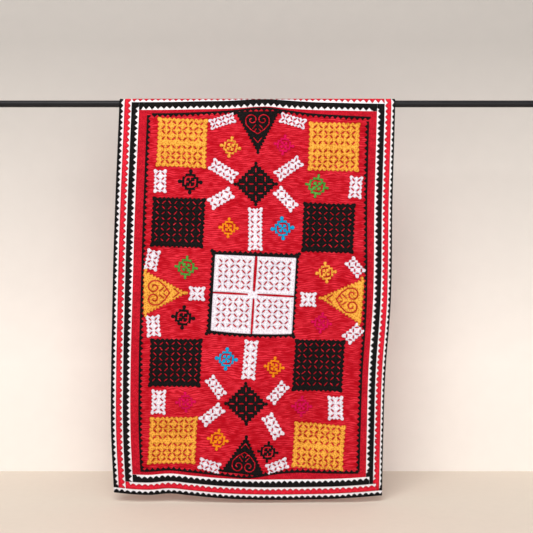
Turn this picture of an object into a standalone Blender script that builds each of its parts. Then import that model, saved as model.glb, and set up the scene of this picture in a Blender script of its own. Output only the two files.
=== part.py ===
# Ralli quilt hung over a round rod, for Blender 4.5. Metres, +Z up.
# The origin is the middle of the rod's left end face. +X runs along the rod, and the quilt's
# patchwork front faces -Y.
#
# The quilt is described on a grid of columns and rows of its own cloth. Two lengths place a point:
# x, along the rod, and w, along the cloth from the top of the rod, positive down the front and
# negative down the back. hang() turns them into a point of the hanging quilt.

import math
from collections import namedtuple

import bmesh
import bpy
from mathutils import Vector

# Rod
ROD_LENGTH = 2.600
ROD_RADIUS = 0.016
ROD_SIDES = 32

# Layers of cloth, counted from the back of the quilt
GAP = 0.0003
BACKING_THICKNESS = 0.0012
LAYER_THICKNESS = 0.0010
GROUND_BACK = BACKING_THICKNESS + GAP
GROUND_FRONT = GROUND_BACK + LAYER_THICKNESS
PATCH_BACK = GROUND_FRONT + GAP
PATCH_FRONT = PATCH_BACK + LAYER_THICKNESS
UPPER_BACK = PATCH_FRONT + GAP
UPPER_FRONT = UPPER_BACK + LAYER_THICKNESS

# Rod's axis to the back of the quilt, and the cloth's length over a quarter of the rod
WRAP_RADIUS = 0.0182
QUARTER_WRAP = WRAP_RADIUS * math.pi / 2

# Border strips, from the quilt's edge inwards. shown is the strip's share of the border, and
# coloured is how far its coloured cloth reaches, to halfway down its teeth.
Strip = namedtuple("Strip", "name shown coloured cloth")
STRIPS = (
    Strip("hem_strip", 0.0245, 0.0127, "black_cloth"),
    Strip("red_strip", 0.0335, 0.0225, "red_cloth"),
    Strip("black_strip", 0.0355, 0.0235, "black_cloth"),
)
BORDER_WIDTH = sum(strip.shown for strip in STRIPS)
FRAME_WIDTH = 0.0125
TOP_HEM_EXTRA = 0.040

# Side edges of the hanging front. drop is below the rod's axis, left and right are x.
SideEdge = namedtuple("SideEdge", "drop left right")
SIDE_EDGES = (
    SideEdge(-0.10, 0.612, 1.900),
    SideEdge(0.04, 0.607, 1.898),
    SideEdge(0.47, 0.589, 1.889),
    SideEdge(0.91, 0.575, 1.881),
    SideEdge(1.25, 0.567, 1.857),
    SideEdge(1.55, 0.567, 1.848),
    SideEdge(1.84, 0.581, 1.842),
)

# Ends of the cloth, at places across its width from 0 on the left to 1 on the right: how far it
# reaches behind the top of the rod, and how far its hem hangs below the rod's axis.
ClothEnd = namedtuple("ClothEnd", "across behind drop")
CLOTH_ENDS = (
    ClothEnd(0.00, 0.070, 1.833),
    ClothEnd(0.13, 0.074, 1.841),
    ClothEnd(0.21, 0.078, 1.832),
    ClothEnd(0.28, 0.083, 1.844),
    ClothEnd(0.40, 0.088, 1.857),
    ClothEnd(0.60, 0.086, 1.864),
    ClothEnd(0.80, 0.068, 1.861),
    ClothEnd(0.90, 0.066, 1.853),
    ClothEnd(1.00, 0.065, 1.848),
)

# Width of the plain red cloth between the border and the black frame, along each side.
# along is 0 to 1 from the left for top and bottom, and from the rod for left and right.
WideRed = namedtuple("WideRed", "along top bottom left right")
WIDE_RED = (
    WideRed(0.0, 0.019, 0.021, 0.039, 0.037),
    WideRed(0.2, 0.018, 0.023, 0.039, 0.035),
    WideRed(0.4, 0.009, 0.009, 0.039, 0.029),
    WideRed(0.5, 0.006, 0.009, 0.039, 0.028),
    WideRed(0.7, 0.014, 0.029, 0.039, 0.028),
    WideRed(0.9, 0.024, 0.020, 0.039, 0.028),
    WideRed(1.0, 0.026, 0.020, 0.039, 0.028),
)

# Middle seam of the red field: its x at the top and at the bottom of the field.
SEAM_TOP = 1.251
SEAM_BOTTOM = 1.222

# Folds of the hanging front. height is towards the front, width is half the fold's, rise and fall
# are the lengths over which it starts and ends, and x1 to x4 are its x at four even drops.
Fold = namedtuple("Fold", "name height width top bottom rise fall x1 x2 x3 x4")
FOLDS = (
    Fold("valley", -0.021, 0.060, 0.12, 1.95, 0.30, 0.45, 1.60, 1.62, 1.57, 1.28),
    Fold("right_ridge", 0.009, 0.055, 0.55, 1.95, 0.40, 0.20, 1.76, 1.75, 1.74, 1.66),
    Fold("seam_ridge", 0.008, 0.085, 0.00, 0.80, 0.15, 0.35, 1.25, 1.25, 1.24, 1.23),
    Fold("left_edge", -0.016, 0.060, 0.70, 1.95, 0.45, 0.10, 0.56, 0.55, 0.55, 0.55),
    Fold("left_trough", -0.006, 0.050, 0.55, 1.15, 0.25, 0.25, 0.70, 0.69, 0.70, 0.70),
    Fold("right_edge", -0.016, 0.050, 1.05, 1.95, 0.35, 0.10, 1.86, 1.86, 1.85, 1.85),
    Fold("hem_trough", -0.010, 0.050, 1.35, 1.95, 0.30, 0.10, 0.86, 0.85, 0.85, 0.85),
    Fold("middle_swell", 0.012, 0.200, 0.90, 1.95, 0.60, 0.10, 1.15, 1.17, 1.20, 1.22),
)

# Patches with four sides. x and drop are the middle, turn is how far the top and bottom edges
# fall to the right, and lean how far the side edges run to the left going down, in degrees.
Square = namedtuple("Square", "name cloth x drop width height turn lean")
SQUARES = (
    Square("square_yellow_top_left", "yellow_cloth", 0.903, 0.187, 0.235, 0.230, 2.5, 2.5),
    Square("square_yellow_top_right", "yellow_cloth", 1.617, 0.205, 0.239, 0.227, 1.5, 1.5),
    Square("square_yellow_bottom_left", "yellow_cloth", 0.859, 1.585, 0.225, 0.220, -1.0, 3.5),
    Square("square_yellow_bottom_right", "yellow_cloth", 1.545, 1.613, 0.240, 0.212, 4.3, 3.9),
    Square("square_black_upper_left", "black_cloth", 0.884, 0.561, 0.250, 0.234, 1.7, 3.2),
    Square("square_black_upper_right", "black_cloth", 1.591, 0.586, 0.246, 0.234, 1.8, 2.6),
    Square("square_black_lower_left", "black_cloth", 0.872, 1.220, 0.246, 0.226, 0.3, 2.7),
    Square("square_black_lower_right", "black_cloth", 1.545, 1.234, 0.238, 0.244, 1.7, 3.9),
    Square("diamond_upper", "black_cloth", 1.250, 0.381, 0.150, 0.151, 45.0, 45.0),
    Square("diamond_lower", "black_cloth", 1.204, 1.411, 0.150, 0.146, 45.0, 45.0),
    Square("centre_black", "black_cloth", 1.236, 0.896, 0.400, 0.384, 2.1, 3.8),
)
CENTRE_WHITE = Square("centre_white", "white_cloth", 1.239, 0.898, 0.381, 0.357, 2.5, 3.3)

# Patches with three sides: the middle of the base, the base's length, and the point.
Triangle = namedtuple("Triangle", "name cloth base_x base_drop base point_x point_drop")
TRIANGLES = (
    Triangle("triangle_black_top", "black_cloth", 1.250, 0.036, 0.207, 1.260, 0.230),
    Triangle("triangle_black_bottom", "black_cloth", 1.183, 1.736, 0.190, 1.206, 1.561),
    Triangle("triangle_yellow_left", "yellow_cloth", 0.722, 0.892, 0.211, 0.927, 0.892),
    Triangle("triangle_yellow_right", "yellow_cloth", 1.749, 0.932, 0.214, 1.550, 0.916),
)

# Grid of the cloth: cells across each half of the field and down it, the longest cell that turns
# over the rod, and how near a cut may pass a corner before it goes through it
FIELD_COLUMNS = 7
FIELD_ROWS = 15
ROD_STEP = 0.012
SNAP = 0.0002

# Finishes: colour, roughness and metallic value
FINISHES = {
    "black_paint": ((0.010, 0.010, 0.011, 1.0), 0.35, 0.0),
    "red_cloth": ((0.631, 0.011, 0.026, 1.0), 0.85, 0.0),
    "white_cloth": ((0.855, 0.831, 0.871, 1.0), 0.80, 0.0),
    "black_cloth": ((0.016, 0.014, 0.014, 1.0), 0.85, 0.0),
    "yellow_cloth": ((0.871, 0.484, 0.040, 1.0), 0.80, 0.0),
}


def clear_objects():
    for item in list(bpy.data.objects):
        bpy.data.objects.remove(item, do_unlink=True)


def make_finish(name):
    colour, roughness, metallic = FINISHES[name]
    finish = bpy.data.materials.new(name)
    finish.use_nodes = True
    shader = finish.node_tree.nodes["Principled BSDF"]
    shader.inputs["Base Color"].default_value = colour
    shader.inputs["Roughness"].default_value = roughness
    shader.inputs["Metallic"].default_value = metallic
    finish.diffuse_color = colour
    return finish


def place_object(name, shape, finish):
    """Turn a bmesh into a named object with its finish."""
    mesh = bpy.data.meshes.new(name)
    shape.to_mesh(mesh)
    shape.free()
    mesh.materials.append(finish)
    item = bpy.data.objects.new(name, mesh)
    bpy.context.collection.objects.link(item)
    return item


def blend(low, high, share):
    return low + (high - low) * share


def ease(share):
    """Smooth step from 0 to 1."""
    share = min(max(share, 0.0), 1.0)
    return share * share * (3.0 - 2.0 * share)


def curve_through(places, values, at):
    """Read a smooth curve through the values, level with its neighbours at each of them."""
    if at <= places[0]:
        return values[0]
    if at >= places[-1]:
        return values[-1]
    spot = max(n for n in range(len(places) - 1) if places[n] <= at)
    span = places[spot + 1] - places[spot]
    share = (at - places[spot]) / span

    def slope(n):
        before, after = max(n - 1, 0), min(n + 1, len(places) - 1)
        return (values[after] - values[before]) / (places[after] - places[before])

    start, end = values[spot], values[spot + 1]
    start_pull, end_pull = slope(spot) * span, slope(spot + 1) * span
    square, cube = share ** 2, share ** 3
    return (start * (2 * cube - 3 * square + 1) + start_pull * (cube - 2 * square + share)
            + end * (3 * square - 2 * cube) + end_pull * (cube - square))


def read_table(table, key, column, at):
    places = [getattr(row, key) for row in table]
    values = [getattr(row, column) for row in table]
    return curve_through(places, values, at)


def left_edge(drop):
    return read_table(SIDE_EDGES, "drop", "left", drop)


def right_edge(drop):
    return read_table(SIDE_EDGES, "drop", "right", drop)


def hem_drop(across):
    return read_table(CLOTH_ENDS, "across", "drop", across)


def reach_behind(across):
    return read_table(CLOTH_ENDS, "across", "behind", across)


def wide_red(side, along):
    return read_table(WIDE_RED, "along", side, along)


def fold_height(fold, x, drop):
    """How far one fold pushes the cloth forwards at a point of the front."""
    if not fold.top < drop < fold.bottom:
        return 0.0
    along = (drop - fold.top) / (fold.bottom - fold.top)
    middle = curve_through((0, 1 / 3, 2 / 3, 1), (fold.x1, fold.x2, fold.x3, fold.x4), along)
    profile = math.exp(-0.5 * ((x - middle) / fold.width) ** 2)
    return (fold.height * profile * ease((drop - fold.top) / fold.rise)
            * ease((fold.bottom - drop) / fold.fall))


def swell(x, drop):
    return sum(fold_height(fold, x, drop) for fold in FOLDS)


def hang(x, w, height):
    """Point of the hanging quilt, height above the back of its cloth."""
    radius = WRAP_RADIUS + height
    if abs(w) < QUARTER_WRAP:
        angle = w / WRAP_RADIUS
        return Vector((x, -radius * math.sin(angle), radius * math.cos(angle)))
    drop = abs(w) - QUARTER_WRAP
    if w < 0:
        return Vector((x, radius, -drop))
    return Vector((x, -radius - swell(x, drop), -drop))


def border_lines():
    """Distances from the quilt's edge of the strips' edges and of their coloured cloth."""
    lines = [0.0]
    edge = 0.0
    for strip in STRIPS:
        lines += [edge + strip.coloured, edge + strip.shown]
        edge += strip.shown
    return lines


class ClothGrid:
    """The quilt's columns and rows, and the point of the cloth where each pair meets."""

    def __init__(self):
        self.lay_columns()
        self.lay_rows()
        self.points = [[self.meet(column, row) for row in self.rows] for column in self.columns]

    def lay_columns(self):
        lines = border_lines()
        middle = 0.5 * (SIDE_EDGES[0].drop + SIDE_EDGES[-1].drop)

        def from_left(inset, red=0.0):
            return lambda drop: left_edge(drop) + inset + red * wide_red("left", drop / 1.85)

        def from_right(inset, red=0.0):
            return lambda drop: right_edge(drop) - inset - red * wide_red("right", drop / 1.85)

        def seam(drop):
            return blend(SEAM_TOP, SEAM_BOTTOM, drop / 1.85)

        def between(start, end, share):
            return lambda drop: blend(start(drop), end(drop), share)

        left = [from_left(line) for line in lines]
        left += [from_left(BORDER_WIDTH, 1.0), from_left(BORDER_WIDTH + FRAME_WIDTH, 1.0)]
        right = [from_right(line) for line in lines]
        right += [from_right(BORDER_WIDTH, 1.0), from_right(BORDER_WIDTH + FRAME_WIDTH, 1.0)]
        steps = [n / FIELD_COLUMNS for n in range(1, FIELD_COLUMNS)]
        self.columns = left + [between(left[-1], seam, step) for step in steps] + [seam]
        self.columns += [between(seam, right[-1], step) for step in steps] + right[::-1]
        self.border = len(lines) - 1
        self.frame = self.border + 1
        self.field = self.border + 2
        self.seam = self.field + FIELD_COLUMNS
        self.last_column = len(self.columns) - 1
        self.across = [(column(middle) - left_edge(middle))
                       / (right_edge(middle) - left_edge(middle)) for column in self.columns]

    def lay_rows(self):
        lines = border_lines()
        top_lines = [0.0]
        self.top_rows = [0]
        for line in lines[1:]:
            start, end = top_lines[-1], TOP_HEM_EXTRA + line
            steps = math.ceil(round((end - start) / ROD_STEP, 3))
            top_lines += [blend(start, end, (n + 1) / steps) for n in range(steps)]
            self.top_rows.append(len(top_lines) - 1)

        def from_top(inset, red=0.0):
            return lambda along: inset + red * wide_red("top", along) - reach_behind(along)

        def from_hem(inset, red=0.0):
            return lambda along: (QUARTER_WRAP + hem_drop(along) - inset
                                  - red * wide_red("bottom", along))

        def between(start, end, share):
            return lambda along: blend(start(along), end(along), share)

        top = [from_top(line) for line in top_lines]
        inner = TOP_HEM_EXTRA + BORDER_WIDTH
        top += [from_top(inner, 1.0), from_top(inner + FRAME_WIDTH, 1.0)]
        bottom = [from_hem(line) for line in lines]
        bottom += [from_hem(BORDER_WIDTH, 1.0), from_hem(BORDER_WIDTH + FRAME_WIDTH, 1.0)]
        steps = [n / FIELD_ROWS for n in range(1, FIELD_ROWS)]
        self.rows = top + [between(top[-1], bottom[-1], step) for step in steps] + bottom[::-1]
        self.last_row = len(self.rows) - 1
        self.top_border = self.top_rows[-1]

    def meet(self, column, row):
        along = self.across[self.columns.index(column)]
        w = row(along)
        return column(w - QUARTER_WRAP), w

    def corner(self, i, j, step_i, step_j, height):
        """Grid point, moved half a gap along the grid towards a neighbour on each way given."""
        x, w = self.points[i][j]
        place = hang(x, w, height)
        spot = place.copy()
        if step_i:
            beside_x, beside_w = self.points[i + step_i][j]
            share = 0.5 * GAP / abs(beside_x - x)
            spot += (hang(beside_x, beside_w, height) - place) * share
        if step_j:
            beside_x, beside_w = self.points[i][j + step_j]
            share = 0.5 * GAP / abs(beside_w - w)
            spot += (hang(beside_x, beside_w, height) - place) * share
        return spot


def inward(n, first, last):
    return 1 if n == first else -1 if n == last else 0


def close_sheet(shape, fronts, backs, front_faces):
    """Add the front faces, the same faces behind, and the walls round their free edges."""
    walls = {}
    for face in front_faces:
        shape.faces.new([fronts[n] for n in face])
        shape.faces.new([backs[n] for n in reversed(face)])
        for start, end in zip(face, face[1:] + face[:1]):
            if (end, start) in walls:
                del walls[(end, start)]
            else:
                walls[(start, end)] = True
    for start, end in walls:
        shape.faces.new((fronts[end], fronts[start], backs[start]))
        shape.faces.new((fronts[end], backs[start], backs[end]))


def grid_sheet(grid, columns, rows, back, front):
    """Closed sheet over a block of grid cells, half a gap smaller all round."""
    shape = bmesh.new()
    fronts, backs = {}, {}
    for i in range(columns[0], columns[1] + 1):
        for j in range(rows[0], rows[1] + 1):
            step = (inward(i, *columns), inward(j, *rows))
            fronts[i, j] = shape.verts.new(grid.corner(i, j, *step, front))
            backs[i, j] = shape.verts.new(grid.corner(i, j, *step, back))
    faces = []
    for i in range(columns[0], columns[1]):
        for j in range(rows[0], rows[1]):
            faces.append([(i, j), (i, j + 1), (i + 1, j + 1)])
            faces.append([(i, j), (i + 1, j + 1), (i + 1, j)])
    close_sheet(shape, fronts, backs, faces)
    return shape


def field_cells(grid):
    """The field's triangles, each as three grid points."""
    for i in range(grid.field, grid.last_column - grid.field):
        for j in range(grid.top_border + 2, grid.last_row - grid.field):
            yield (i, j), (i, j + 1), (i + 1, j + 1)
            yield (i, j), (i + 1, j + 1), (i + 1, j)


def shares_in(triangle, x, w):
    """Barycentric shares of a flat point in a triangle of three flat points."""
    (ax, aw), (bx, bw), (cx, cw) = triangle
    area = (bx - ax) * (cw - aw) - (cx - ax) * (bw - aw)
    second = ((x - ax) * (cw - aw) - (cx - ax) * (w - aw)) / area
    third = ((bx - ax) * (w - aw) - (x - ax) * (bw - aw)) / area
    return 1.0 - second - third, second, third


def on_field(grid, x, w, height):
    """Point on the field's flat-faced surface, so that a patch lies parallel to its ground."""
    best, best_shares = None, None
    for cell in field_cells(grid):
        shares = shares_in([grid.points[i][j] for i, j in cell], x, w)
        if best is None or min(shares) > min(best_shares):
            best, best_shares = cell, shares
    corners = [hang(*grid.points[i][j], height) for i, j in best]
    return sum((corner * share for corner, share in zip(corners, best_shares)), Vector())


def flat_field(grid):
    """The field laid flat as x and w, half a gap inside the black frame."""
    shape = bmesh.new()
    spots = {}
    limits_i = (grid.field, grid.last_column - grid.field)
    limits_j = (grid.top_border + 2, grid.last_row - grid.field)
    for cell in field_cells(grid):
        for i, j in cell:
            if (i, j) not in spots:
                x, w = grid.points[i][j]
                x += GAP * inward(i, *limits_i)
                w += GAP * inward(j, *limits_j)
                spots[i, j] = shape.verts.new((x, w, 0.0))
        shape.faces.new([spots[place] for place in cell])
    return shape


def patch_sheet(grid, outline, back, front):
    """Closed patch of a convex outline, cut from the field's own cells."""
    flat = flat_field(grid)
    middle = sum(outline, Vector((0.0, 0.0))) / len(outline)
    for start, end in zip(outline, outline[1:] + outline[:1]):
        side = end - start
        normal = Vector((side.y, -side.x, 0.0))
        if normal.dot((start - middle).to_3d()) < 0:
            normal.negate()
        geometry = flat.verts[:] + flat.edges[:] + flat.faces[:]
        bmesh.ops.bisect_plane(flat, geom=geometry, dist=SNAP, plane_co=start.to_3d(),
                               plane_no=normal, clear_outer=True)
    bmesh.ops.triangulate(flat, faces=flat.faces[:])
    shape = bmesh.new()
    fronts, backs = {}, {}
    for spot in flat.verts:
        if spot.link_faces:
            fronts[spot.index] = shape.verts.new(on_field(grid, spot.co.x, spot.co.y, front))
            backs[spot.index] = shape.verts.new(on_field(grid, spot.co.x, spot.co.y, back))
    close_sheet(shape, fronts, backs, [[spot.index for spot in face.verts] for face in flat.faces])
    flat.free()
    return shape


def square_outline(square):
    """Corners of a square patch as x and w, from its middle, sizes and angles."""
    turn, lean = math.radians(square.turn), math.radians(square.lean)
    sideways = Vector((math.cos(turn), math.sin(turn))) * square.width / 2
    downwards = Vector((-math.sin(lean), math.cos(lean))) * square.height / 2
    middle = Vector((square.x, square.drop + QUARTER_WRAP))
    return [middle - sideways - downwards, middle + sideways - downwards,
            middle + sideways + downwards, middle - sideways + downwards]


def triangle_outline(triangle):
    """Corners of a triangular patch as x and w, with its base square to its height."""
    base = Vector((triangle.base_x, triangle.base_drop + QUARTER_WRAP))
    point = Vector((triangle.point_x, triangle.point_drop + QUARTER_WRAP))
    height = (point - base).normalized()
    along = Vector((-height.y, height.x)) * triangle.base / 2
    return [base - along, base + along, point]


def make_rod(finish):
    shape = bmesh.new()
    bmesh.ops.create_cone(shape, cap_ends=True, segments=ROD_SIDES, radius1=ROD_RADIUS,
                          radius2=ROD_RADIUS, depth=ROD_LENGTH)
    rod = place_object("rod", shape, finish)
    rod.rotation_euler = (0.0, math.pi / 2, 0.0)
    rod.location = (ROD_LENGTH / 2, 0.0, 0.0)
    rod.data.shade_smooth()
    rod.data.set_sharp_from_angle(angle=math.radians(40))
    return rod


def make_grounds(grid, finishes):
    """Backing, the two widths of the field, and the white cloth under the border strips."""
    columns, rows = (0, grid.last_column), (0, grid.last_row)
    shape = grid_sheet(grid, columns, rows, 0.0, BACKING_THICKNESS)
    place_object("backing", shape, finishes["red_cloth"])
    top, bottom = grid.top_border, grid.last_row - grid.border
    left, right = grid.border, grid.last_column - grid.border
    field_rows = (top + 1, bottom - 1)
    pieces = (
        ("field_left", "red_cloth", (grid.frame, grid.seam), field_rows),
        ("field_right", "red_cloth", (grid.seam, grid.last_column - grid.frame), field_rows),
        ("ground_top", "white_cloth", columns, (0, top)),
        ("ground_bottom", "white_cloth", columns, (bottom, grid.last_row)),
        ("ground_left", "white_cloth", (0, left), (top, bottom)),
        ("ground_right", "white_cloth", (right, grid.last_column), (top, bottom)),
        ("wide_red_top", "red_cloth", (left, right), (top, top + 1)),
        ("wide_red_bottom", "red_cloth", (left, right), (bottom - 1, bottom)),
        ("wide_red_left", "red_cloth", (left, grid.frame), (top + 1, bottom - 1)),
        ("wide_red_right", "red_cloth", (grid.last_column - grid.frame, right),
         (top + 1, bottom - 1)),
    )
    for name, cloth, across, down in pieces:
        shape = grid_sheet(grid, across, down, GROUND_BACK, GROUND_FRONT)
        place_object(name, shape, finishes[cloth])


def make_strips(grid, finishes):
    """Coloured border strips, butted like the logs of a cabin. The first level strips run the
    full width, and the uprights of the first two stand between them."""
    last_column, last_row = grid.last_column, grid.last_row
    for order, strip in enumerate(STRIPS):
        line = 2 * order
        level_line = line + 2 if order else 0
        upright_line = max(2, line)
        across = (level_line, last_column - level_line)
        down = (grid.top_rows[upright_line], last_row - upright_line)
        placed = (
            ("top", across, (grid.top_rows[line], grid.top_rows[line + 1])),
            ("bottom", across, (last_row - line - 1, last_row - line)),
            ("left", (line, line + 1), down),
            ("right", (last_column - line - 1, last_column - line), down),
        )
        for side, columns, rows in placed:
            shape = grid_sheet(grid, columns, rows, PATCH_BACK, PATCH_FRONT)
            place_object(f"{strip.name}_{side}", shape, finishes[strip.cloth])


def make_frame(grid, finishes):
    """Narrow black strip round the field."""
    outer, inner = grid.frame, grid.field
    top, bottom = grid.top_border + 1, grid.last_row - grid.frame
    right = grid.last_column - outer
    placed = (
        ("top", (outer, right), (top, top + 1)),
        ("bottom", (outer, right), (bottom - 1, bottom)),
        ("left", (outer, inner), (top + 1, bottom - 1)),
        ("right", (right - 1, right), (top + 1, bottom - 1)),
    )
    for side, across, down in placed:
        shape = grid_sheet(grid, across, down, PATCH_BACK, PATCH_FRONT)
        place_object(f"frame_{side}", shape, finishes["black_cloth"])


def make_patches(grid, finishes):
    """The large cut-work patches of the field."""
    outlines = [(square.name, square.cloth, square_outline(square)) for square in SQUARES]
    outlines += [(item.name, item.cloth, triangle_outline(item)) for item in TRIANGLES]
    for name, cloth, outline in outlines:
        shape = patch_sheet(grid, outline, PATCH_BACK, PATCH_FRONT)
        place_object(name, shape, finishes[cloth])
    shape = patch_sheet(grid, square_outline(CENTRE_WHITE), UPPER_BACK, UPPER_FRONT)
    place_object(CENTRE_WHITE.name, shape, finishes[CENTRE_WHITE.cloth])


def main():
    clear_objects()
    finishes = {name: make_finish(name) for name in FINISHES}
    grid = ClothGrid()
    make_rod(finishes["black_paint"])
    make_grounds(grid, finishes)
    make_strips(grid, finishes)
    make_frame(grid, finishes)
    make_patches(grid, finishes)


main()
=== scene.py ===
# %% [markdown]
# A ralli quilt hung over a rod. A ralli is a quilt of many pieces of cotton: a plain back, a red
# field of two widths, and on it cut-work, which is cloth folded, cut with small slits and sewn
# down by hand. Three toothed strips on white make the border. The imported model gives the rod,
# the layers and the folds, and this lesson sews the finished cloth over them.

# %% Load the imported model
import math
from collections import namedtuple

import bpy
import numpy as np
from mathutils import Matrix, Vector, geometry


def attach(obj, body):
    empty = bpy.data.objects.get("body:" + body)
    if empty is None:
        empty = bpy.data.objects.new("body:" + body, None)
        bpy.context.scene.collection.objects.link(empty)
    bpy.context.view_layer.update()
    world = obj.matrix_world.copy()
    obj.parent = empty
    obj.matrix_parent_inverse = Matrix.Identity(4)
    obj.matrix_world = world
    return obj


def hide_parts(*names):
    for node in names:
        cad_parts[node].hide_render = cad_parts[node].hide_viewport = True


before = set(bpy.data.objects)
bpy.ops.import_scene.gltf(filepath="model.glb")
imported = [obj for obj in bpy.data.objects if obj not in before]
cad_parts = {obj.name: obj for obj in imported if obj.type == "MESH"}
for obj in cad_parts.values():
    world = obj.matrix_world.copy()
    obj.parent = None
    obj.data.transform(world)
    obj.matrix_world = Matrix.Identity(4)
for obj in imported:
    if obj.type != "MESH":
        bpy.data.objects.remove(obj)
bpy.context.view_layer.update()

# %% [markdown]
# The camera looks level and straight at the quilt from four metres, and one pixel of its square
# picture covers 4.7 mm of cloth. The lens follows from those two numbers.

# %% Camera
PICTURE_SIDE = 533
METRES_PER_PIXEL = 0.0047
CAMERA_GAP = 4.0
QUILT_FRONT = -0.020

camera_data = bpy.data.cameras.new("level_camera")
camera_data.sensor_width = 36.0
camera_data.lens = camera_data.sensor_width * CAMERA_GAP / (PICTURE_SIDE * METRES_PER_PIXEL)
camera = bpy.data.objects.new("level_camera", camera_data)
camera.location = (1.300, QUILT_FRONT - CAMERA_GAP, -0.768)
camera.rotation_euler = (math.pi / 2, 0.0, 0.0)
bpy.context.collection.objects.link(camera)
bpy.context.scene.camera = camera
bpy.context.scene.view_settings.view_transform = "Standard"
print("lens", round(camera_data.lens, 1), "mm")

# %% [markdown]
# Node trees are easier to read as a list of nodes and a list of links, so one helper builds them
# all. A cotton finish is used on every cloth piece: a plain weave of fine threads, slow changes
# of tone as in hand-dyed cloth, painted shade in the valleys between the quilting rows and a
# painted highlight on the puffs between them. Both come from an attribute that each piece
# carries, its relief, so the painted shade follows its real puffs and folds.
# A patch is also pricked all over by small stitches, and each pulls in a pit a few millimetres
# across: those are the cells of a Voronoi texture on the cloth's own map, dented by a bump and
# darkened with painted shade.

# %% A helper for node trees
def add_node(tree, kind, place, **values):
    """Add a node, set its properties, and set the inputs that are given by name."""
    node = tree.nodes.new(kind)
    node.location = (place[0] * 200, place[1] * -200)
    inputs = values.pop("inputs", {})
    for name, value in values.items():
        setattr(node, name, value)
    for name, value in inputs.items():
        node.inputs[name].default_value = value
    return node


def new_finish(name):
    finish = bpy.data.materials.new(name)
    finish.use_nodes = True
    tree = finish.node_tree
    return finish, tree, tree.nodes["Principled BSDF"]


# %% The cotton finish
THREAD_PITCH = 0.0011
WAVE_SCALE = math.tau / 20
PIT_PITCH = 0.0098


def multiply(tree, place, first, second):
    node = add_node(tree, "ShaderNodeMath", place, operation="MULTIPLY")
    tree.links.new(first, node.inputs[0])
    if isinstance(second, float):
        node.inputs[1].default_value = second
    else:
        tree.links.new(second, node.inputs[1])
    return node.outputs[0]


def tone_between(tree, place, value, low, high, start=0.0, end=1.0):
    node = add_node(tree, "ShaderNodeMapRange", place,
                    inputs={"From Min": start, "From Max": end, "To Min": low, "To Max": high})
    tree.links.new(value, node.inputs["Value"])
    return node.outputs["Result"]


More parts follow.
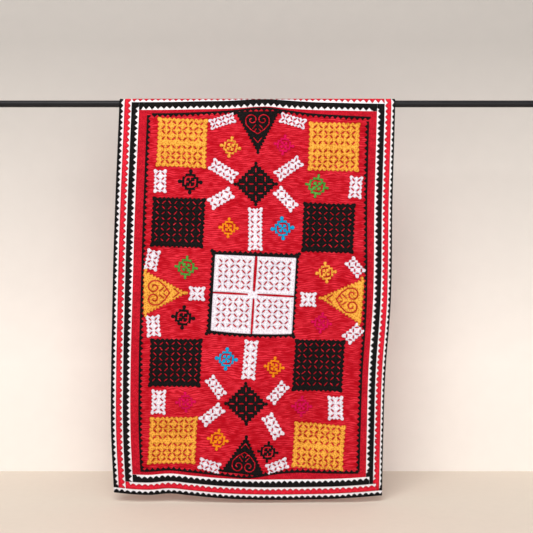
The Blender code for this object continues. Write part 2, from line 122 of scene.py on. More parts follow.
def cotton(name, shaded_colour, lit_colour, roughness=0.85, sheen=0.02, valley_shade=0.40, mottle=0.12, pit_shade_and_depth=0.0):
    """Cotton between two tones of one colour: the first is painted shade, the second painted
    highlight. Two amounts say how much painted shade darkens it in the quilting valleys and in
    each stitch pit; the pit amount also sets the depth of the pit's bump."""
    finish, tree, shader = new_finish(name)
    flat = add_node(tree, "ShaderNodeUVMap", (-7, 2), uv_map="cloth")
    place = add_node(tree, "ShaderNodeTexCoord", (-7, 0))
    relief = add_node(tree, "ShaderNodeAttribute", (-7, -1), attribute_name="relief")
    slow = add_node(tree, "ShaderNodeTexNoise", (-5, 0),
                    inputs={"Scale": 7.0, "Detail": 3.0, "Roughness": 0.6})
    quick = add_node(tree, "ShaderNodeTexNoise", (-5, 1),
                     inputs={"Scale": 160.0, "Detail": 4.0, "Roughness": 0.65})
    for noise in (slow, quick):
        tree.links.new(place.outputs["Object"], noise.inputs["Vector"])
    # Painted shade: darker where the relief is low, between the quilting rows and at rolled edges.
    tone = tone_between(tree, (-4, -1), relief.outputs["Fac"], valley_shade, 1.0)
    slow_tone = tone_between(tree, (-4, 0), slow.outputs["Fac"], 1.0 - mottle, 1.0 + mottle,
                             0.3, 0.7)
    quick_tone = tone_between(tree, (-4, 1), quick.outputs["Fac"], 1.0 - mottle, 1.0 + mottle,
                              0.3, 0.7)
    pit = add_node(tree, "ShaderNodeTexVoronoi", (-5, -2), voronoi_dimensions="2D",
                   inputs={"Scale": 1 / PIT_PITCH, "Randomness": 0.8})
    tree.links.new(flat.outputs["UV"], pit.inputs["Vector"])
    # Painted shade in each stitch pit; the same values shape the pit's bump further down.
    pit_shade_and_dent = tone_between(tree, (-4, -2), pit.outputs["Distance"], 1.0 - pit_shade_and_depth, 1.0, 0.10, 0.50)
    tone = multiply(tree, (-3, -2), tone, pit_shade_and_dent)
    tone = multiply(tree, (-3, -1), multiply(tree, (-3, 0), tone, slow_tone), quick_tone)
    # The ramp runs from the painted shade colour up to the painted highlight colour.
    ramp = add_node(tree, "ShaderNodeValToRGB", (-2, 0))
    ramp.color_ramp.elements[0].position = 0.40
    ramp.color_ramp.elements[0].color = (*shaded_colour, 1.0)
    ramp.color_ramp.elements[1].position = 1.0
    ramp.color_ramp.elements[1].color = (*lit_colour, 1.0)
    tree.links.new(tone, ramp.inputs["Fac"])
    tree.links.new(ramp.outputs["Color"], shader.inputs["Base Color"])
    weave = []
    for row, direction in enumerate(("X", "Y")):
        wave = add_node(tree, "ShaderNodeTexWave", (-5, 2 + row), wave_type="BANDS",
                        bands_direction=direction,
                        inputs={"Scale": WAVE_SCALE / THREAD_PITCH, "Distortion": 0.6,
                                "Detail": 1.0})
        tree.links.new(flat.outputs["UV"], wave.inputs["Vector"])
        weave.append(wave.outputs["Fac"])
    threads = multiply(tree, (-3, 2), *weave)
    slubs = add_node(tree, "ShaderNodeMath", (-2, 2), operation="ADD")
    tree.links.new(threads, slubs.inputs[0])
    tree.links.new(multiply(tree, (-3, 3), quick.outputs["Fac"], 1.5), slubs.inputs[1])
    dents = add_node(tree, "ShaderNodeBump", (-2, 3), inputs={"Strength": 0.9,
                                                             "Distance": 0.003 * pit_shade_and_depth})
    tree.links.new(pit_shade_and_dent, dents.inputs["Height"])
    bump = add_node(tree, "ShaderNodeBump", (-1, 2), inputs={"Strength": 0.5,
                                                            "Distance": 0.0004})
    tree.links.new(dents.outputs["Normal"], bump.inputs["Normal"])
    tree.links.new(slubs.outputs[0], bump.inputs["Height"])
    tree.links.new(bump.outputs["Normal"], shader.inputs["Normal"])
    rough = tone_between(tree, (-1, 1), quick.outputs["Fac"], roughness - 0.06, roughness + 0.06)
    tree.links.new(rough, shader.inputs["Roughness"])
    shader.inputs["Sheen Weight"].default_value = sheen
    shader.inputs["Sheen Roughness"].default_value = 0.4
    shader.inputs["Specular IOR Level"].default_value = 0.10
    return finish


# Each cotton gets a painted shade colour for its valleys and a painted highlight colour for its
# puffs.
COTTONS = {
    "red_cloth": cotton("red_cotton", (0.400, 0.0005, 0.008), (0.810, 0.034, 0.062), valley_shade=0.22),
    "red_cloth_left": cotton("red_cotton_left", (0.410, 0.0005, 0.008), (0.840, 0.036, 0.064),
                             valley_shade=0.22),
    "red_band": cotton("red_band_cotton", (0.340, 0.002, 0.011), (0.780, 0.018, 0.042), pit_shade_and_depth=0.3,
                       mottle=0.07),
    "red_back": cotton("red_back_cotton", (0.330, 0.004, 0.012), (0.640, 0.012, 0.028)),
    "white_cloth": cotton("white_cotton", (0.470, 0.400, 0.510), (0.900, 0.860, 0.930),
                          valley_shade=0.60, mottle=0.05, pit_shade_and_depth=0.36),
    "white_ground": cotton("white_ground_cotton", (0.600, 0.560, 0.640), (0.960, 0.950, 0.985),
                           valley_shade=0.75, mottle=0.04),
    "black_cloth": cotton("black_cotton", (0.0022, 0.0022, 0.0026), (0.0085, 0.0075, 0.0078),
                          sheen=0.0, valley_shade=0.6, mottle=0.2, pit_shade_and_depth=0.50),
    "yellow_cloth": cotton("yellow_cotton", (0.440, 0.135, 0.008), (0.940, 0.450, 0.066),
                           valley_shade=0.60, pit_shade_and_depth=0.44),
    "orange": cotton("orange_cotton", (0.600, 0.140, 0.003), (0.940, 0.310, 0.010), pit_shade_and_depth=0.3),
    "green": cotton("green_cotton", (0.030, 0.140, 0.016), (0.120, 0.390, 0.065), pit_shade_and_depth=0.3),
    "blue": cotton("blue_cotton", (0.001, 0.170, 0.380), (0.002, 0.390, 0.690), pit_shade_and_depth=0.3),
    "magenta": cotton("magenta_cotton", (0.430, 0.001, 0.050), (0.700, 0.003, 0.095), pit_shade_and_depth=0.3),
}
print(len(COTTONS), "cotton finishes")

# %% [markdown]
# The rod is a plain steel tube with a coat of black paint, half glossy. Its shape in the frame is
# right, so it stays and only gets a finish: fine unevenness of the paint in gloss and bump.

# %% Painted rod
def black_paint():
    finish, tree, shader = new_finish("satin_black_paint")
    place = add_node(tree, "ShaderNodeTexCoord", (-6, 0))
    stretch = add_node(tree, "ShaderNodeMapping", (-5, 0), inputs={"Scale": (0.2, 1.0, 1.0)})
    grain = add_node(tree, "ShaderNodeTexNoise", (-4, 0), inputs={"Scale": 220.0, "Detail": 3.0})
    wear = add_node(tree, "ShaderNodeTexNoise", (-4, 1), inputs={"Scale": 9.0, "Detail": 4.0})
    tree.links.new(place.outputs["Object"], stretch.inputs["Vector"])
    tree.links.new(stretch.outputs["Vector"], grain.inputs["Vector"])
    tree.links.new(place.outputs["Object"], wear.inputs["Vector"])
    ramp = add_node(tree, "ShaderNodeValToRGB", (-2, 1))
    ramp.color_ramp.elements[0].color = (0.007, 0.007, 0.009, 1.0)
    ramp.color_ramp.elements[1].color = (0.016, 0.016, 0.019, 1.0)
    tree.links.new(wear.outputs["Fac"], ramp.inputs["Fac"])
    tree.links.new(ramp.outputs["Color"], shader.inputs["Base Color"])
    tree.links.new(tone_between(tree, (-2, 0), wear.outputs["Fac"], 0.30, 0.46),
                   shader.inputs["Roughness"])
    shader.inputs["Specular IOR Level"].default_value = 0.18
    bump = add_node(tree, "ShaderNodeBump", (-2, 2), inputs={"Strength": 0.15,
                                                            "Distance": 0.0003})
    tree.links.new(grain.outputs["Fac"], bump.inputs["Height"])
    tree.links.new(bump.outputs["Normal"], shader.inputs["Normal"])
    return finish


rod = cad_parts["rod"]
rod.material_slots[0].material = black_paint()
print("rod finished:", rod.name)

# %% [markdown]
# The quilt stands before a pale wall and just above a pale floor. Both are plain, and the wall
# has painted shade that makes it a little darker towards its top. Seen from behind, the wall lets
# the view through, so that the back of the quilt can be looked at too.

# %% Wall and floor
FLOOR = -1.879
WALL = 0.60
# Heights between which painted shade darkens the wall towards its top.
WALL_UNSHADED_HEIGHT, WALL_SHADED_HEIGHT = -1.3, 0.45


def plain_finish(name, colour, grain, shade=1.0):
    """Matt paint. Painted shade darkens it upwards: shade is the tone left at the upper height,
    from full tone at the lower one.
    """
    finish, tree, shader = new_finish(name)
    place = add_node(tree, "ShaderNodeTexCoord", (-5, 0))
    noise = add_node(tree, "ShaderNodeTexNoise", (-4, 0), inputs={"Scale": grain, "Detail": 3.0})
    tree.links.new(place.outputs["Object"], noise.inputs["Vector"])
    ramp = add_node(tree, "ShaderNodeValToRGB", (-2, 0))
    ramp.color_ramp.elements[0].color = (*[0.96 * part for part in colour], 1.0)
    ramp.color_ramp.elements[1].color = (*colour, 1.0)
    tree.links.new(noise.outputs["Fac"], ramp.inputs["Fac"])
    height = add_node(tree, "ShaderNodeSeparateXYZ", (-4, -1))
    tree.links.new(place.outputs["Object"], height.inputs[0])
    # Painted shade: darker towards the top.
    tone = tone_between(tree, (-3, -1), height.outputs["Z"], 1.0, shade, WALL_UNSHADED_HEIGHT, WALL_SHADED_HEIGHT)
    shaded_base = add_node(tree, "ShaderNodeVectorMath", (-1, 0), operation="SCALE")
    tree.links.new(ramp.outputs["Color"], shaded_base.inputs[0])
    tree.links.new(tone, shaded_base.inputs["Scale"])
    tree.links.new(shaded_base.outputs[0], shader.inputs["Base Color"])
    shader.inputs["Roughness"].default_value = 0.9
    shader.inputs["Specular IOR Level"].default_value = 0.1
    side = add_node(tree, "ShaderNodeNewGeometry", (0, -1))
    clear = add_node(tree, "ShaderNodeBsdfTransparent", (0, 1))
    choice = add_node(tree, "ShaderNodeMixShader", (2, 0))
    tree.links.new(side.outputs["Backfacing"], choice.inputs[0])
    tree.links.new(shader.outputs[0], choice.inputs[1])
    tree.links.new(clear.outputs[0], choice.inputs[2])
    tree.links.new(choice.outputs[0], tree.nodes["Material Output"].inputs["Surface"])
    return finish


def stage_plane(name, corners, finish):
    mesh = bpy.data.meshes.new(name)
    mesh.from_pydata(corners, [], [(0, 1, 2, 3)])
    mesh.materials.append(finish)
    plane = bpy.data.objects.new(name, mesh)
    bpy.context.collection.objects.link(plane)
    return plane


LEFT_END, RIGHT_END, NEAR_END, WALL_TOP = -4.0, 6.6, -7.0, 3.2
stage_plane("floor", [(LEFT_END, NEAR_END, FLOOR), (RIGHT_END, NEAR_END, FLOOR),
                      (RIGHT_END, WALL, FLOOR), (LEFT_END, WALL, FLOOR)],
            plain_finish("pale_floor", (0.78, 0.70, 0.61), 30.0))
stage_plane("wall", [(LEFT_END, WALL, FLOOR), (RIGHT_END, WALL, FLOOR),
                     (RIGHT_END, WALL, WALL_TOP), (LEFT_END, WALL, WALL_TOP)],
            plain_finish("pale_wall", (0.95, 0.905, 0.860), 12.0, 0.50))

# %% [markdown]
# Soft daylight comes from the upper left: one large area light far off, so that it falls evenly,
# a weaker one from the right, and an even pale surround. The large light gives the faint shadow
# at the quilt's right side. One more light stands behind, for views of the back.

# %% Lights
def area_light(name, place, aim, size, watts, colour):
    data = bpy.data.lights.new(name, "AREA")
    data.shape = "RECTANGLE"
    data.size, data.size_y = size
    data.energy = watts
    data.color = colour
    lamp = bpy.data.objects.new(name, data)
    lamp.location = place
    lamp.rotation_euler = (Vector(aim) - Vector(place)).to_track_quat("-Z", "Y").to_euler()
    bpy.context.collection.objects.link(lamp)
    return lamp


area_light("window", (0.0, -5.2, 4.4), (1.3, 0.0, -0.8), (4.4, 4.4), 400.0, (1.0, 0.98, 0.96))
area_light("fill", (3.2, -6.8, 0.6), (1.3, 0.0, -1.0), (4.0, 3.5), 115.0, (1.0, 0.98, 0.97))
area_light("back_fill", (1.3, 3.4, 0.8), (1.3, 0.0, -0.9), (2.5, 2.0), 60.0, (1.0, 0.98, 0.95))
surround = bpy.data.worlds.new("pale_surround")
surround.use_nodes = True
surround.node_tree.nodes["Background"].inputs["Color"].default_value = (1.0, 0.97, 0.94, 1.0)
surround.node_tree.nodes["Background"].inputs["Strength"].default_value = 0.49
bpy.context.scene.world = surround

# %% [markdown]
# The cloth's own map. Two lengths place a point of the quilt: x, along the rod, and w, along the
# cloth from the top of the rod, positive down the front and negative down the back. The tables
# are the frame's own, so that what is sewn here lies on it. They are read with numpy, which
# works on many thousands of points at once.

# %% Sizes of the hanging cloth
WRAP_RADIUS = 0.0182
QUARTER_WRAP = WRAP_RADIUS * math.pi / 2

SIDE_DROPS = (-0.10, 0.04, 0.47, 0.91, 1.25, 1.55, 1.84)
LEFT_EDGE = (0.612, 0.607, 0.589, 0.575, 0.567, 0.567, 0.581)
RIGHT_EDGE = (1.906, 1.904, 1.892, 1.885, 1.861, 1.851, 1.845)

ACROSS = (0.00, 0.13, 0.21, 0.28, 0.40, 0.53, 0.60, 0.70, 0.80, 0.90, 1.00)
REACH_BEHIND = (0.073, 0.073, 0.074, 0.076, 0.079, 0.089, 0.081, 0.073, 0.070, 0.067, 0.065)
HEM_DROP = (1.833, 1.841, 1.836, 1.842, 1.854, 1.860, 1.862, 1.861, 1.859, 1.852, 1.848)

RED_ALONG = (0.0, 0.2, 0.4, 0.5, 0.6, 0.7, 0.9, 1.0)
RED_WIDTH = {
    "top": (0.013, 0.016, 0.009, 0.004, 0.008, 0.017, 0.026, 0.026),
    "bottom": (0.014, 0.015, 0.012, 0.005, 0.024, 0.031, 0.020, 0.020),
    "left": (0.039, 0.039, 0.039, 0.039, 0.039, 0.039, 0.039, 0.039),
    "right": (0.037, 0.035, 0.031, 0.029, 0.027, 0.028, 0.031, 0.031),
}
CURL_DROPS = (0.00, 0.90, 1.30, 1.60, 1.85)
RIGHT_CURL = (0.009, 0.010, 0.012, 0.014, 0.014)
FRONT_LENGTH = 1.85
CLOTH_WIDTH = 1.28
SEAM_TOP, SEAM_BOTTOM = 1.251, 1.222

Fold = namedtuple("Fold", "height width top bottom rise fall middles")
FOLDS = (
    Fold(-0.021, 0.060, 0.12, 1.95, 0.30, 0.45, (1.60, 1.62, 1.57, 1.28)),
    Fold(0.009, 0.055, 0.55, 1.95, 0.40, 0.20, (1.76, 1.75, 1.74, 1.66)),
    Fold(0.008, 0.085, 0.00, 0.80, 0.15, 0.35, (1.25, 1.25, 1.24, 1.23)),
    Fold(-0.016, 0.060, 0.70, 1.95, 0.45, 0.10, (0.56, 0.55, 0.55, 0.55)),
    Fold(-0.006, 0.050, 0.55, 1.15, 0.25, 0.25, (0.70, 0.69, 0.70, 0.70)),
    Fold(-0.016, 0.050, 1.05, 1.95, 0.35, 0.10, (1.86, 1.86, 1.85, 1.85)),
    Fold(-0.010, 0.050, 1.35, 1.95, 0.30, 0.10, (0.86, 0.85, 0.85, 0.85)),
    Fold(0.012, 0.200, 0.90, 1.95, 0.60, 0.10, (1.15, 1.17, 1.20, 1.22)),
)


# %% Reading the tables
def smooth_curve(places, values, at):
    """Cubic curve through the values, level with its neighbours at each of them."""
    places, values = np.asarray(places, float), np.asarray(values, float)
    at = np.clip(at, places[0], places[-1])
    spot = np.clip(np.searchsorted(places, at, side="right") - 1, 0, len(places) - 2)
    before = np.maximum(np.arange(len(places)) - 1, 0)
    after = np.minimum(np.arange(len(places)) + 1, len(places) - 1)
    slopes = (values[after] - values[before]) / (places[after] - places[before])
    span = places[spot + 1] - places[spot]
    share = (at - places[spot]) / span
    square, cube = share ** 2, share ** 3
    return (values[spot] * (2 * cube - 3 * square + 1)
            + slopes[spot] * span * (cube - 2 * square + share)
            + values[spot + 1] * (3 * square - 2 * cube)
            + slopes[spot + 1] * span * (cube - square))


def left_edge(drop):
    return smooth_curve(SIDE_DROPS, LEFT_EDGE, drop)


def right_edge(drop):
    return smooth_curve(SIDE_DROPS, RIGHT_EDGE, drop)


def wide_red(side, along):
    return smooth_curve(RED_ALONG, RED_WIDTH[side], along)


def ease(share):
    share = np.clip(share, 0.0, 1.0)
    return share * share * (3.0 - 2.0 * share)


# %% [markdown]
# Cloth is never quite even. A field of soft random hills, read from a small table of seeded
# random numbers, gives that unevenness wherever it is needed: in the drape, in the quilting rows
# and in hand-cut edges. The same seed gives the same hills each time.

# %% Soft hills
HILL_TABLE = 64


def hills(x, y, size, seed):
    """Smooth random height between -1 and 1, with hills of about the given size."""
    table = np.random.default_rng(seed).uniform(-1.0, 1.0, (HILL_TABLE, HILL_TABLE))
    wide, tall = size if isinstance(size, tuple) else (size, size)
    across, down = np.asarray(x) / wide, np.asarray(y) / tall
    i, j = np.floor(across).astype(int), np.floor(down).astype(int)
    right, below = ease(across - i), ease(down - j)
    i, j, next_i, next_j = (n % HILL_TABLE for n in (i, j, i + 1, j + 1))
    upper = table[i, j] * (1 - right) + table[next_i, j] * right
    lower = table[i, next_j] * (1 - right) + table[next_i, next_j] * right
    return upper * (1 - below) + lower * below


# %% [markdown]
# hang() is the heart of the lesson: it takes points of the flat cloth, and gives back points of
# the hanging quilt. Over the rod the cloth turns round a circle, and below it hangs straight,
# pushed forwards or back by its folds and by a little unevenness.

# %% Hang points of the cloth
UNEVENNESS = 0.0016


def swell(x, drop):
    """How far the folds push the front forwards."""
    total = UNEVENNESS * hills(x, drop, 0.17, 5) * ease(drop / 0.15)
    for fold in FOLDS:
        along = np.clip((drop - fold.top) / (fold.bottom - fold.top), 0.0, 1.0)
        middle = smooth_curve((0, 1 / 3, 2 / 3, 1), fold.middles, along)
        profile = np.exp(-0.5 * ((x - middle) / fold.width) ** 2)
        total = total + (fold.height * profile * ease((drop - fold.top) / fold.rise)
                         * ease((fold.bottom - drop) / fold.fall))
    return total


def hang(x, w, height):
    """Points of the hanging quilt, height above the back of its cloth."""
    radius = WRAP_RADIUS + height
    turned = np.clip(w, -QUARTER_WRAP, QUARTER_WRAP) / WRAP_RADIUS
    drop = np.maximum(np.abs(w) - QUARTER_WRAP, 0.0)
    forward = np.where(w > 0, swell(x, drop), 0.0)
    return np.stack([x, -radius * np.sin(turned) - forward, radius * np.cos(turned) - drop], -1)


# %% [markdown]
# Every cloth piece is made as a real one is. It starts as a flat shape with its own two
# measures, along and across. A triangulation that keeps the outline fills it with fine points on
# the side that is seen and with few on the side that isn't, walls join the two, and a place
# function says where the flat piece goes on the quilt. The result is a closed thin sheet.

# %% Fill a flat shape with triangles
def flat_triangles(points, loops, inside, stretch):
    """Triangles between the points inside the outline loops, all turning the same way."""
    edges, first = [], 0
    for loop in loops:
        count = len(loop)
        edges += [(first + n, first + (n + 1) % count) for n in range(count)]
        first += count
    flat = [Vector(spot) for spot in (points * stretch).tolist()]
    made = geometry.delaunay_2d_cdt(flat, edges, [], 0, 1e-9)
    source = np.array([spots[0] for spots in made[3]])
    faces = source[np.array(made[2])]
    faces = faces[inside(points[faces].mean(axis=1))]
    one, two, three = (points[faces[:, n]] for n in range(3))
    turn = ((two - one)[:, 0] * (three - one)[:, 1] - (two - one)[:, 1] * (three - one)[:, 0])
    faces[turn < 0] = faces[turn < 0][:, ::-1]
    return faces, np.array(edges)


# %% Close a sheet of cloth
MAP_MARGIN = 0.006


def lay_flat(points, low, high, side):
    """Places on the bake's map: the front on its left half, and the back on its right."""
    share = (points - low) / (high - low)
    inner = MAP_MARGIN + share * (1 - 2 * MAP_MARGIN)
    return inner * (0.5, 1.0) + (0.5 * side, 0.0)


def spread(mesh, name, places):
    layer = mesh.uv_layers.new(name=name)
    layer.uv.foreach_set("vector", np.ascontiguousarray(places, dtype=np.float32).ravel())


def sew_piece(name, finish, loops, fine, coarse, inside, place, front, back, outward,
              seen_side="front", stretch=(1.0, 1.0)):
    """Closed sheet over a flat outline. front and back give the heights of its two faces, and
    outward the way out of the piece at each point of its outline."""
    rim = np.concatenate(loops)
    free = {"front": fine, "back": coarse}
    if seen_side == "back":
        free = {"front": coarse, "back": fine}
    flat = {side: np.concatenate([rim, spots]) for side, spots in free.items()}
    faces = {}
    for side, points in flat.items():
        faces[side], edges = flat_triangles(points, loops, inside, stretch)
    cloth = {side: place(points) for side, points in flat.items()}
    x, w = cloth["front"]
    one, two, three = (np.stack([x, w], -1)[faces["front"][:, n]] for n in range(3))
    turn = np.sum((two - one)[:, 0] * (three - one)[:, 1]
                  - (two - one)[:, 1] * (three - one)[:, 0])
    if turn > 0:
        faces["front"] = faces["front"][:, ::-1]
    else:
        faces["back"] = faces["back"][:, ::-1]
    heights = {"front": front(flat["front"], *cloth["front"]),
               "back": back(flat["back"], *cloth["back"])}
    points = np.concatenate([hang(*cloth[side], heights[side]) for side in ("front", "back")])
    count = len(flat["front"])
    sides = faces["front"][:, (0, 1, 2)], faces["front"][:, (1, 2, 0)]
    directed = (sides[0] * count + sides[1]).ravel()
    start, end = edges.T
    same_way = np.isin(start * count + end, directed)
    start, end = np.where(same_way, end, start), np.where(same_way, start, end)
    walls = np.stack([start, end, end + count, start + count], -1)
    mesh = bpy.data.meshes.new(name)
    mesh.from_pydata(points.tolist(), [], faces["front"].tolist()
                     + (faces["back"] + count).tolist() + walls.tolist())
    mesh.materials.append(finish)
    low, high = rim.min(axis=0), rim.max(axis=0)
    maps = np.concatenate([lay_flat(flat[side], low, high, n)
                           for n, side in enumerate(("front", "back"))])
    wall_maps = maps.copy()
    thickness = np.abs(heights["front"][:len(rim)] - heights["back"][:len(rim)])
    wall_maps[count:count + len(rim)] = lay_flat(rim + outward(rim) * thickness[:, None],
                                                 low, high, 0)
    spread(mesh, "OFBake", np.concatenate([maps[faces["front"].ravel()],
                                           maps[(faces["back"] + count).ravel()],
                                           wall_maps[walls.ravel()]]))
    metres = np.concatenate([np.stack(cloth[side], -1) for side in ("front", "back")])
    corners = np.concatenate([faces["front"].ravel(), (faces["back"] + count).ravel(),
                              walls.ravel()])
    spread(mesh, "cloth", metres[corners])
    mesh.uv_layers["OFBake"].active_render = True
    mesh.update()
    piece = bpy.data.objects.new(name, mesh)
    bpy.context.collection.objects.link(piece)
    return piece, heights, flat


# The relief attribute is read only by the cotton finish, for its painted shade and highlight.
def add_relief(piece, values):
    layer = piece.data.attributes.new("relief", "FLOAT", "POINT")
    layer.data.foreach_set("value", np.ascontiguousarray(values, dtype=np.float32))


def smooth_shade(piece, degrees=55):
    piece.data.shade_smooth()
    piece.data.set_sharp_from_angle(angle=math.radians(degrees))


# %% [markdown]
# Quilting. Rows of running stitches go through all the layers, about 8 mm apart, and the cloth
# puffs up between them. The rows are sewn by hand with no ruler, so they wander, crowd and
# spread. The height between two rows is the bow of a sine wave, sharp at the stitches and round
# between them.

# %% Rows of quilting
ROW_PITCH = 0.0094


def row_phase(x, w, turn=0.0):
    """Which row a point lies on, counted in rows. turn tilts the rows, as a slope."""
    wander = (0.012 * hills(x, w, (0.15, 0.11), 11) + 0.0086 * hills(x, w, (0.046, 0.036), 12)
              + 0.0032 * hills(x, w, (0.018, 0.016), 14))
    return (w + wander + turn * x) / ROW_PITCH


def row_puff(x, w, turn=0.0):
    """Puffed height between the stitch rows, 0 to 1, uneven along each row."""
    bow = np.abs(np.sin(np.pi * row_phase(x, w, turn))) ** 0.8
    uneven = 0.60 + 0.40 * hills(x, w, (0.020, 0.0095), 13)
    return bow * uneven


# %% Layers
# Heights of the layers over the back of the quilt
BACKING_FRONT = 0.0005
GROUND_BACK = 0.0014
GROUND_LOW = 0.0018
ROW_RISE = 0.0024
PATCH_BACK = 0.0043
PATCH_LOW = 0.0048
PATCH_RISE = 0.0014
UPPER_BACK = 0.0064
UPPER_LOW = 0.0068

pieces = []


def finish_piece(piece, nodes, slot):
    """Note what a finished piece stands for, in the list that the last cell reads."""
    smooth_shade(piece)
    pieces.append((piece, nodes, slot))
    faces = sum(len(face.vertices) - 2 for face in piece.data.polygons)
    print(piece.name, faces, "triangles")


# %% [markdown]
# A panel is a plain four-sided piece: the backing, the two widths of the field, the wide red and
# the white grounds. Its flat shape is a rectangle, and a place function bends its sides to the
# quilt's own curved lines. Points stand close together across the quilting rows and further
# apart along them, so the rows come out sharp with few faces.

# %% Panels
def rectangle_rim(length, width, step):
    """Points along the four sides of a rectangle, no further apart than the two steps."""
    along = np.linspace(0.0, length, max(2, round(length / step[0]) + 1))
    across = np.linspace(0.0, width, max(2, round(width / step[1]) + 1))
    sides = [np.stack([along[:-1], np.zeros(len(along) - 1)], -1),
             np.stack([np.full(len(across) - 1, length), across[:-1]], -1),
             np.stack([along[:0:-1], np.full(len(along) - 1, width)], -1),
             np.stack([np.zeros(len(across) - 1), across[:0:-1]], -1)]
    return np.concatenate(sides)


def rectangle_fill(length, width, step):
    """Points inside a rectangle, every second row moved by half a step."""
    columns, rows = max(1, round(length / step[0])), max(1, round(width / step[1]))
    spots = [[((i + 0.5 * (j % 2)) * length / columns, j * width / rows)
              for i in range(1 - j % 2, columns)] for j in range(1, rows)]
    flat = [spot for row in spots for spot in row]
    return np.array(flat).reshape(-1, 2)


def everywhere(points):
    return np.ones(len(points), bool)


def panel(name, finish, size, place, step, front, back, nodes, slot, relief, seen_side="front",
          coarse_step=(0.028, 0.028)):
    length, width = size

    def outward(rim):
        way = np.zeros_like(rim)
        way[rim[:, 0] <= 0, 0], way[rim[:, 0] >= length, 0] = -1.0, 1.0
        way[rim[:, 1] <= 0, 1], way[rim[:, 1] >= width, 1] = -1.0, 1.0
        return way

    stretch = (1.0, step[0] / step[1])
    piece, _, flat = sew_piece(
        name, finish, [rectangle_rim(length, width, step)], rectangle_fill(length, width, step),
        rectangle_fill(length, width, coarse_step), everywhere, place, front, back, outward,
        seen_side, stretch)
    # The relief sets the cotton's painted shade, darker between the quilting rows.
    add_relief(piece, np.concatenate([relief(*place(flat[side])) for side in ("front", "back")]))
    finish_piece(piece, nodes, slot)
    return piece


# %% [markdown]
# Lines of the quilt that pieces share: where the border ends, where the black frame runs, and
# where the middle seam of the field falls.

# %% Shared lines
BORDER_WIDTH = 0.0935
TOP_HEM_EXTRA = 0.040
CURL_WIDTH = 0.020


def side_line(side, drop, inset, red=0.0):
    """x of a line that keeps a distance from a side edge, beyond a share of the wide red. The
    right edge curls back, so that its border looks narrower than it is."""
    gap = inset + red * wide_red(side, drop / FRONT_LENGTH)
    if side == "left":
        return left_edge(drop) + gap
    curl = smooth_curve(CURL_DROPS, RIGHT_CURL, drop)
    return right_edge(drop) - gap + curl * (1 - np.exp(-np.maximum(inset, 0.0) / CURL_WIDTH))


def level_line(side, across, inset, red=0.0):
    """w of a line that keeps a distance from the hem or from the end behind the rod."""
    gap = inset + red * wide_red(side, across)
    if side == "top":
        return gap + TOP_HEM_EXTRA - smooth_curve(ACROSS, REACH_BEHIND, across)
    return QUARTER_WRAP + smooth_curve(ACROSS, HEM_DROP, across) - gap


def seam_line(drop):
    return SEAM_TOP + (SEAM_BOTTOM - SEAM_TOP) * drop / FRONT_LENGTH


def four_sided(length, width, left, right, top, bottom):
    """Place function of a panel between four lines. left and right give x at a drop, and top
    and bottom give w at a share of the quilt's width, so each is found from the other in turn."""
    def place(points):
        along, down = points[:, 0] / length, points[:, 1] / width
        across, x = along, along
        for _ in range(3):
            w = top(across) + down * (bottom(across) - top(across))
            drop = w - QUARTER_WRAP
            x = left(drop) + along * (right(drop) - left(drop))
            across = (x - left_edge(drop)) / (right_edge(drop) - left_edge(drop))
        return x, w
    return place


# %% The backing
BACKING_RISE = 0.0009


def backing_end(across):
    return -smooth_curve(ACROSS, REACH_BEHIND, across)


def backing_hem(across):
    return level_line("bottom", across, 0.0)


def backing_height(flat, x, w):
    """The back puffs away from the quilt between its rows, but not where it rests on the rod."""
    clear = ease((np.abs(w) - QUARTER_WRAP) / 0.02)
    return -BACKING_RISE * row_puff(x, w) * clear


backing_size = (CLOTH_WIDTH, 1.93)
backing = panel(
    "quilted_backing", COTTONS["red_back"], backing_size,
    four_sided(*backing_size, left_edge, right_edge, backing_end, backing_hem),
    (0.026, 0.0026), lambda flat, x, w: np.full(len(x), BACKING_FRONT), backing_height,
    ["backing"], "red_cloth", row_puff, seen_side="back", coarse_step=(0.014, 0.016))

# %% The field
def field_top(across):
    return level_line("top", across, BORDER_WIDTH, 1.0)


def field_bottom(across):
    return level_line("bottom", across, BORDER_WIDTH, 1.0)


def field_left_side(drop):
    return side_line("left", drop, BORDER_WIDTH, 1.0)


def field_right_side(drop):
    return side_line("right", drop, BORDER_WIDTH, 1.0)


def ground_height(flat, x, w):
    return GROUND_LOW + ROW_RISE * row_puff(x, w)


def ground_back(flat, x, w):
    return np.full(len(x), GROUND_BACK)


FIELD_STEP = (0.0095, 0.0018)
field_size = (0.515, 1.68)
for side, cloth, left, right in (("left", "red_cloth_left", field_left_side, seam_line),
                                 ("right", "red_cloth", seam_line, field_right_side)):
    panel(f"quilted_field_{side}", COTTONS[cloth], field_size,
          four_sided(*field_size, left, right, field_top, field_bottom), FIELD_STEP,
          ground_height, ground_back, [f"field_{side}"], "red_cloth", row_puff)

# %% [markdown]
# Between the border and the black frame runs a plain red band, and under the toothed strips lies
# a white one. Their rows of quilting follow the border, so on the two sides they are turned and
# look mottled rather than striped.

# %% Wide red and white grounds
BAND_STEP = (0.0042, 0.0030)
WHITE_STEP = (0.0058, 0.0048)


def band_puff(x, w):
    """Quilting of the border bands, crossed by the turn of each side's rows."""
    return 0.5 * row_puff(x, w, 0.9) + 0.5 * row_puff(x + 0.3, w, -1.1)


def band_height(flat, x, w):
    return GROUND_LOW + ROW_RISE * band_puff(x, w)


def band_along_side(side, inner, outer, step, finish, node, slot):
    """Upright band between two distances from a side edge, from the top band to the hem's."""
    lines = (lambda drop: side_line(side, drop, *outer), lambda drop: side_line(side, drop, *inner))
    left, right = lines if side == "left" else lines[::-1]
    size = (0.09, 1.75)
    panel(f"quilted_{node}", finish, size,
          four_sided(*size, left, right, lambda across: level_line("top", across, *inner),
                     lambda across: level_line("bottom", across, *inner)), step,
          band_height, ground_back, [node], slot, band_puff)


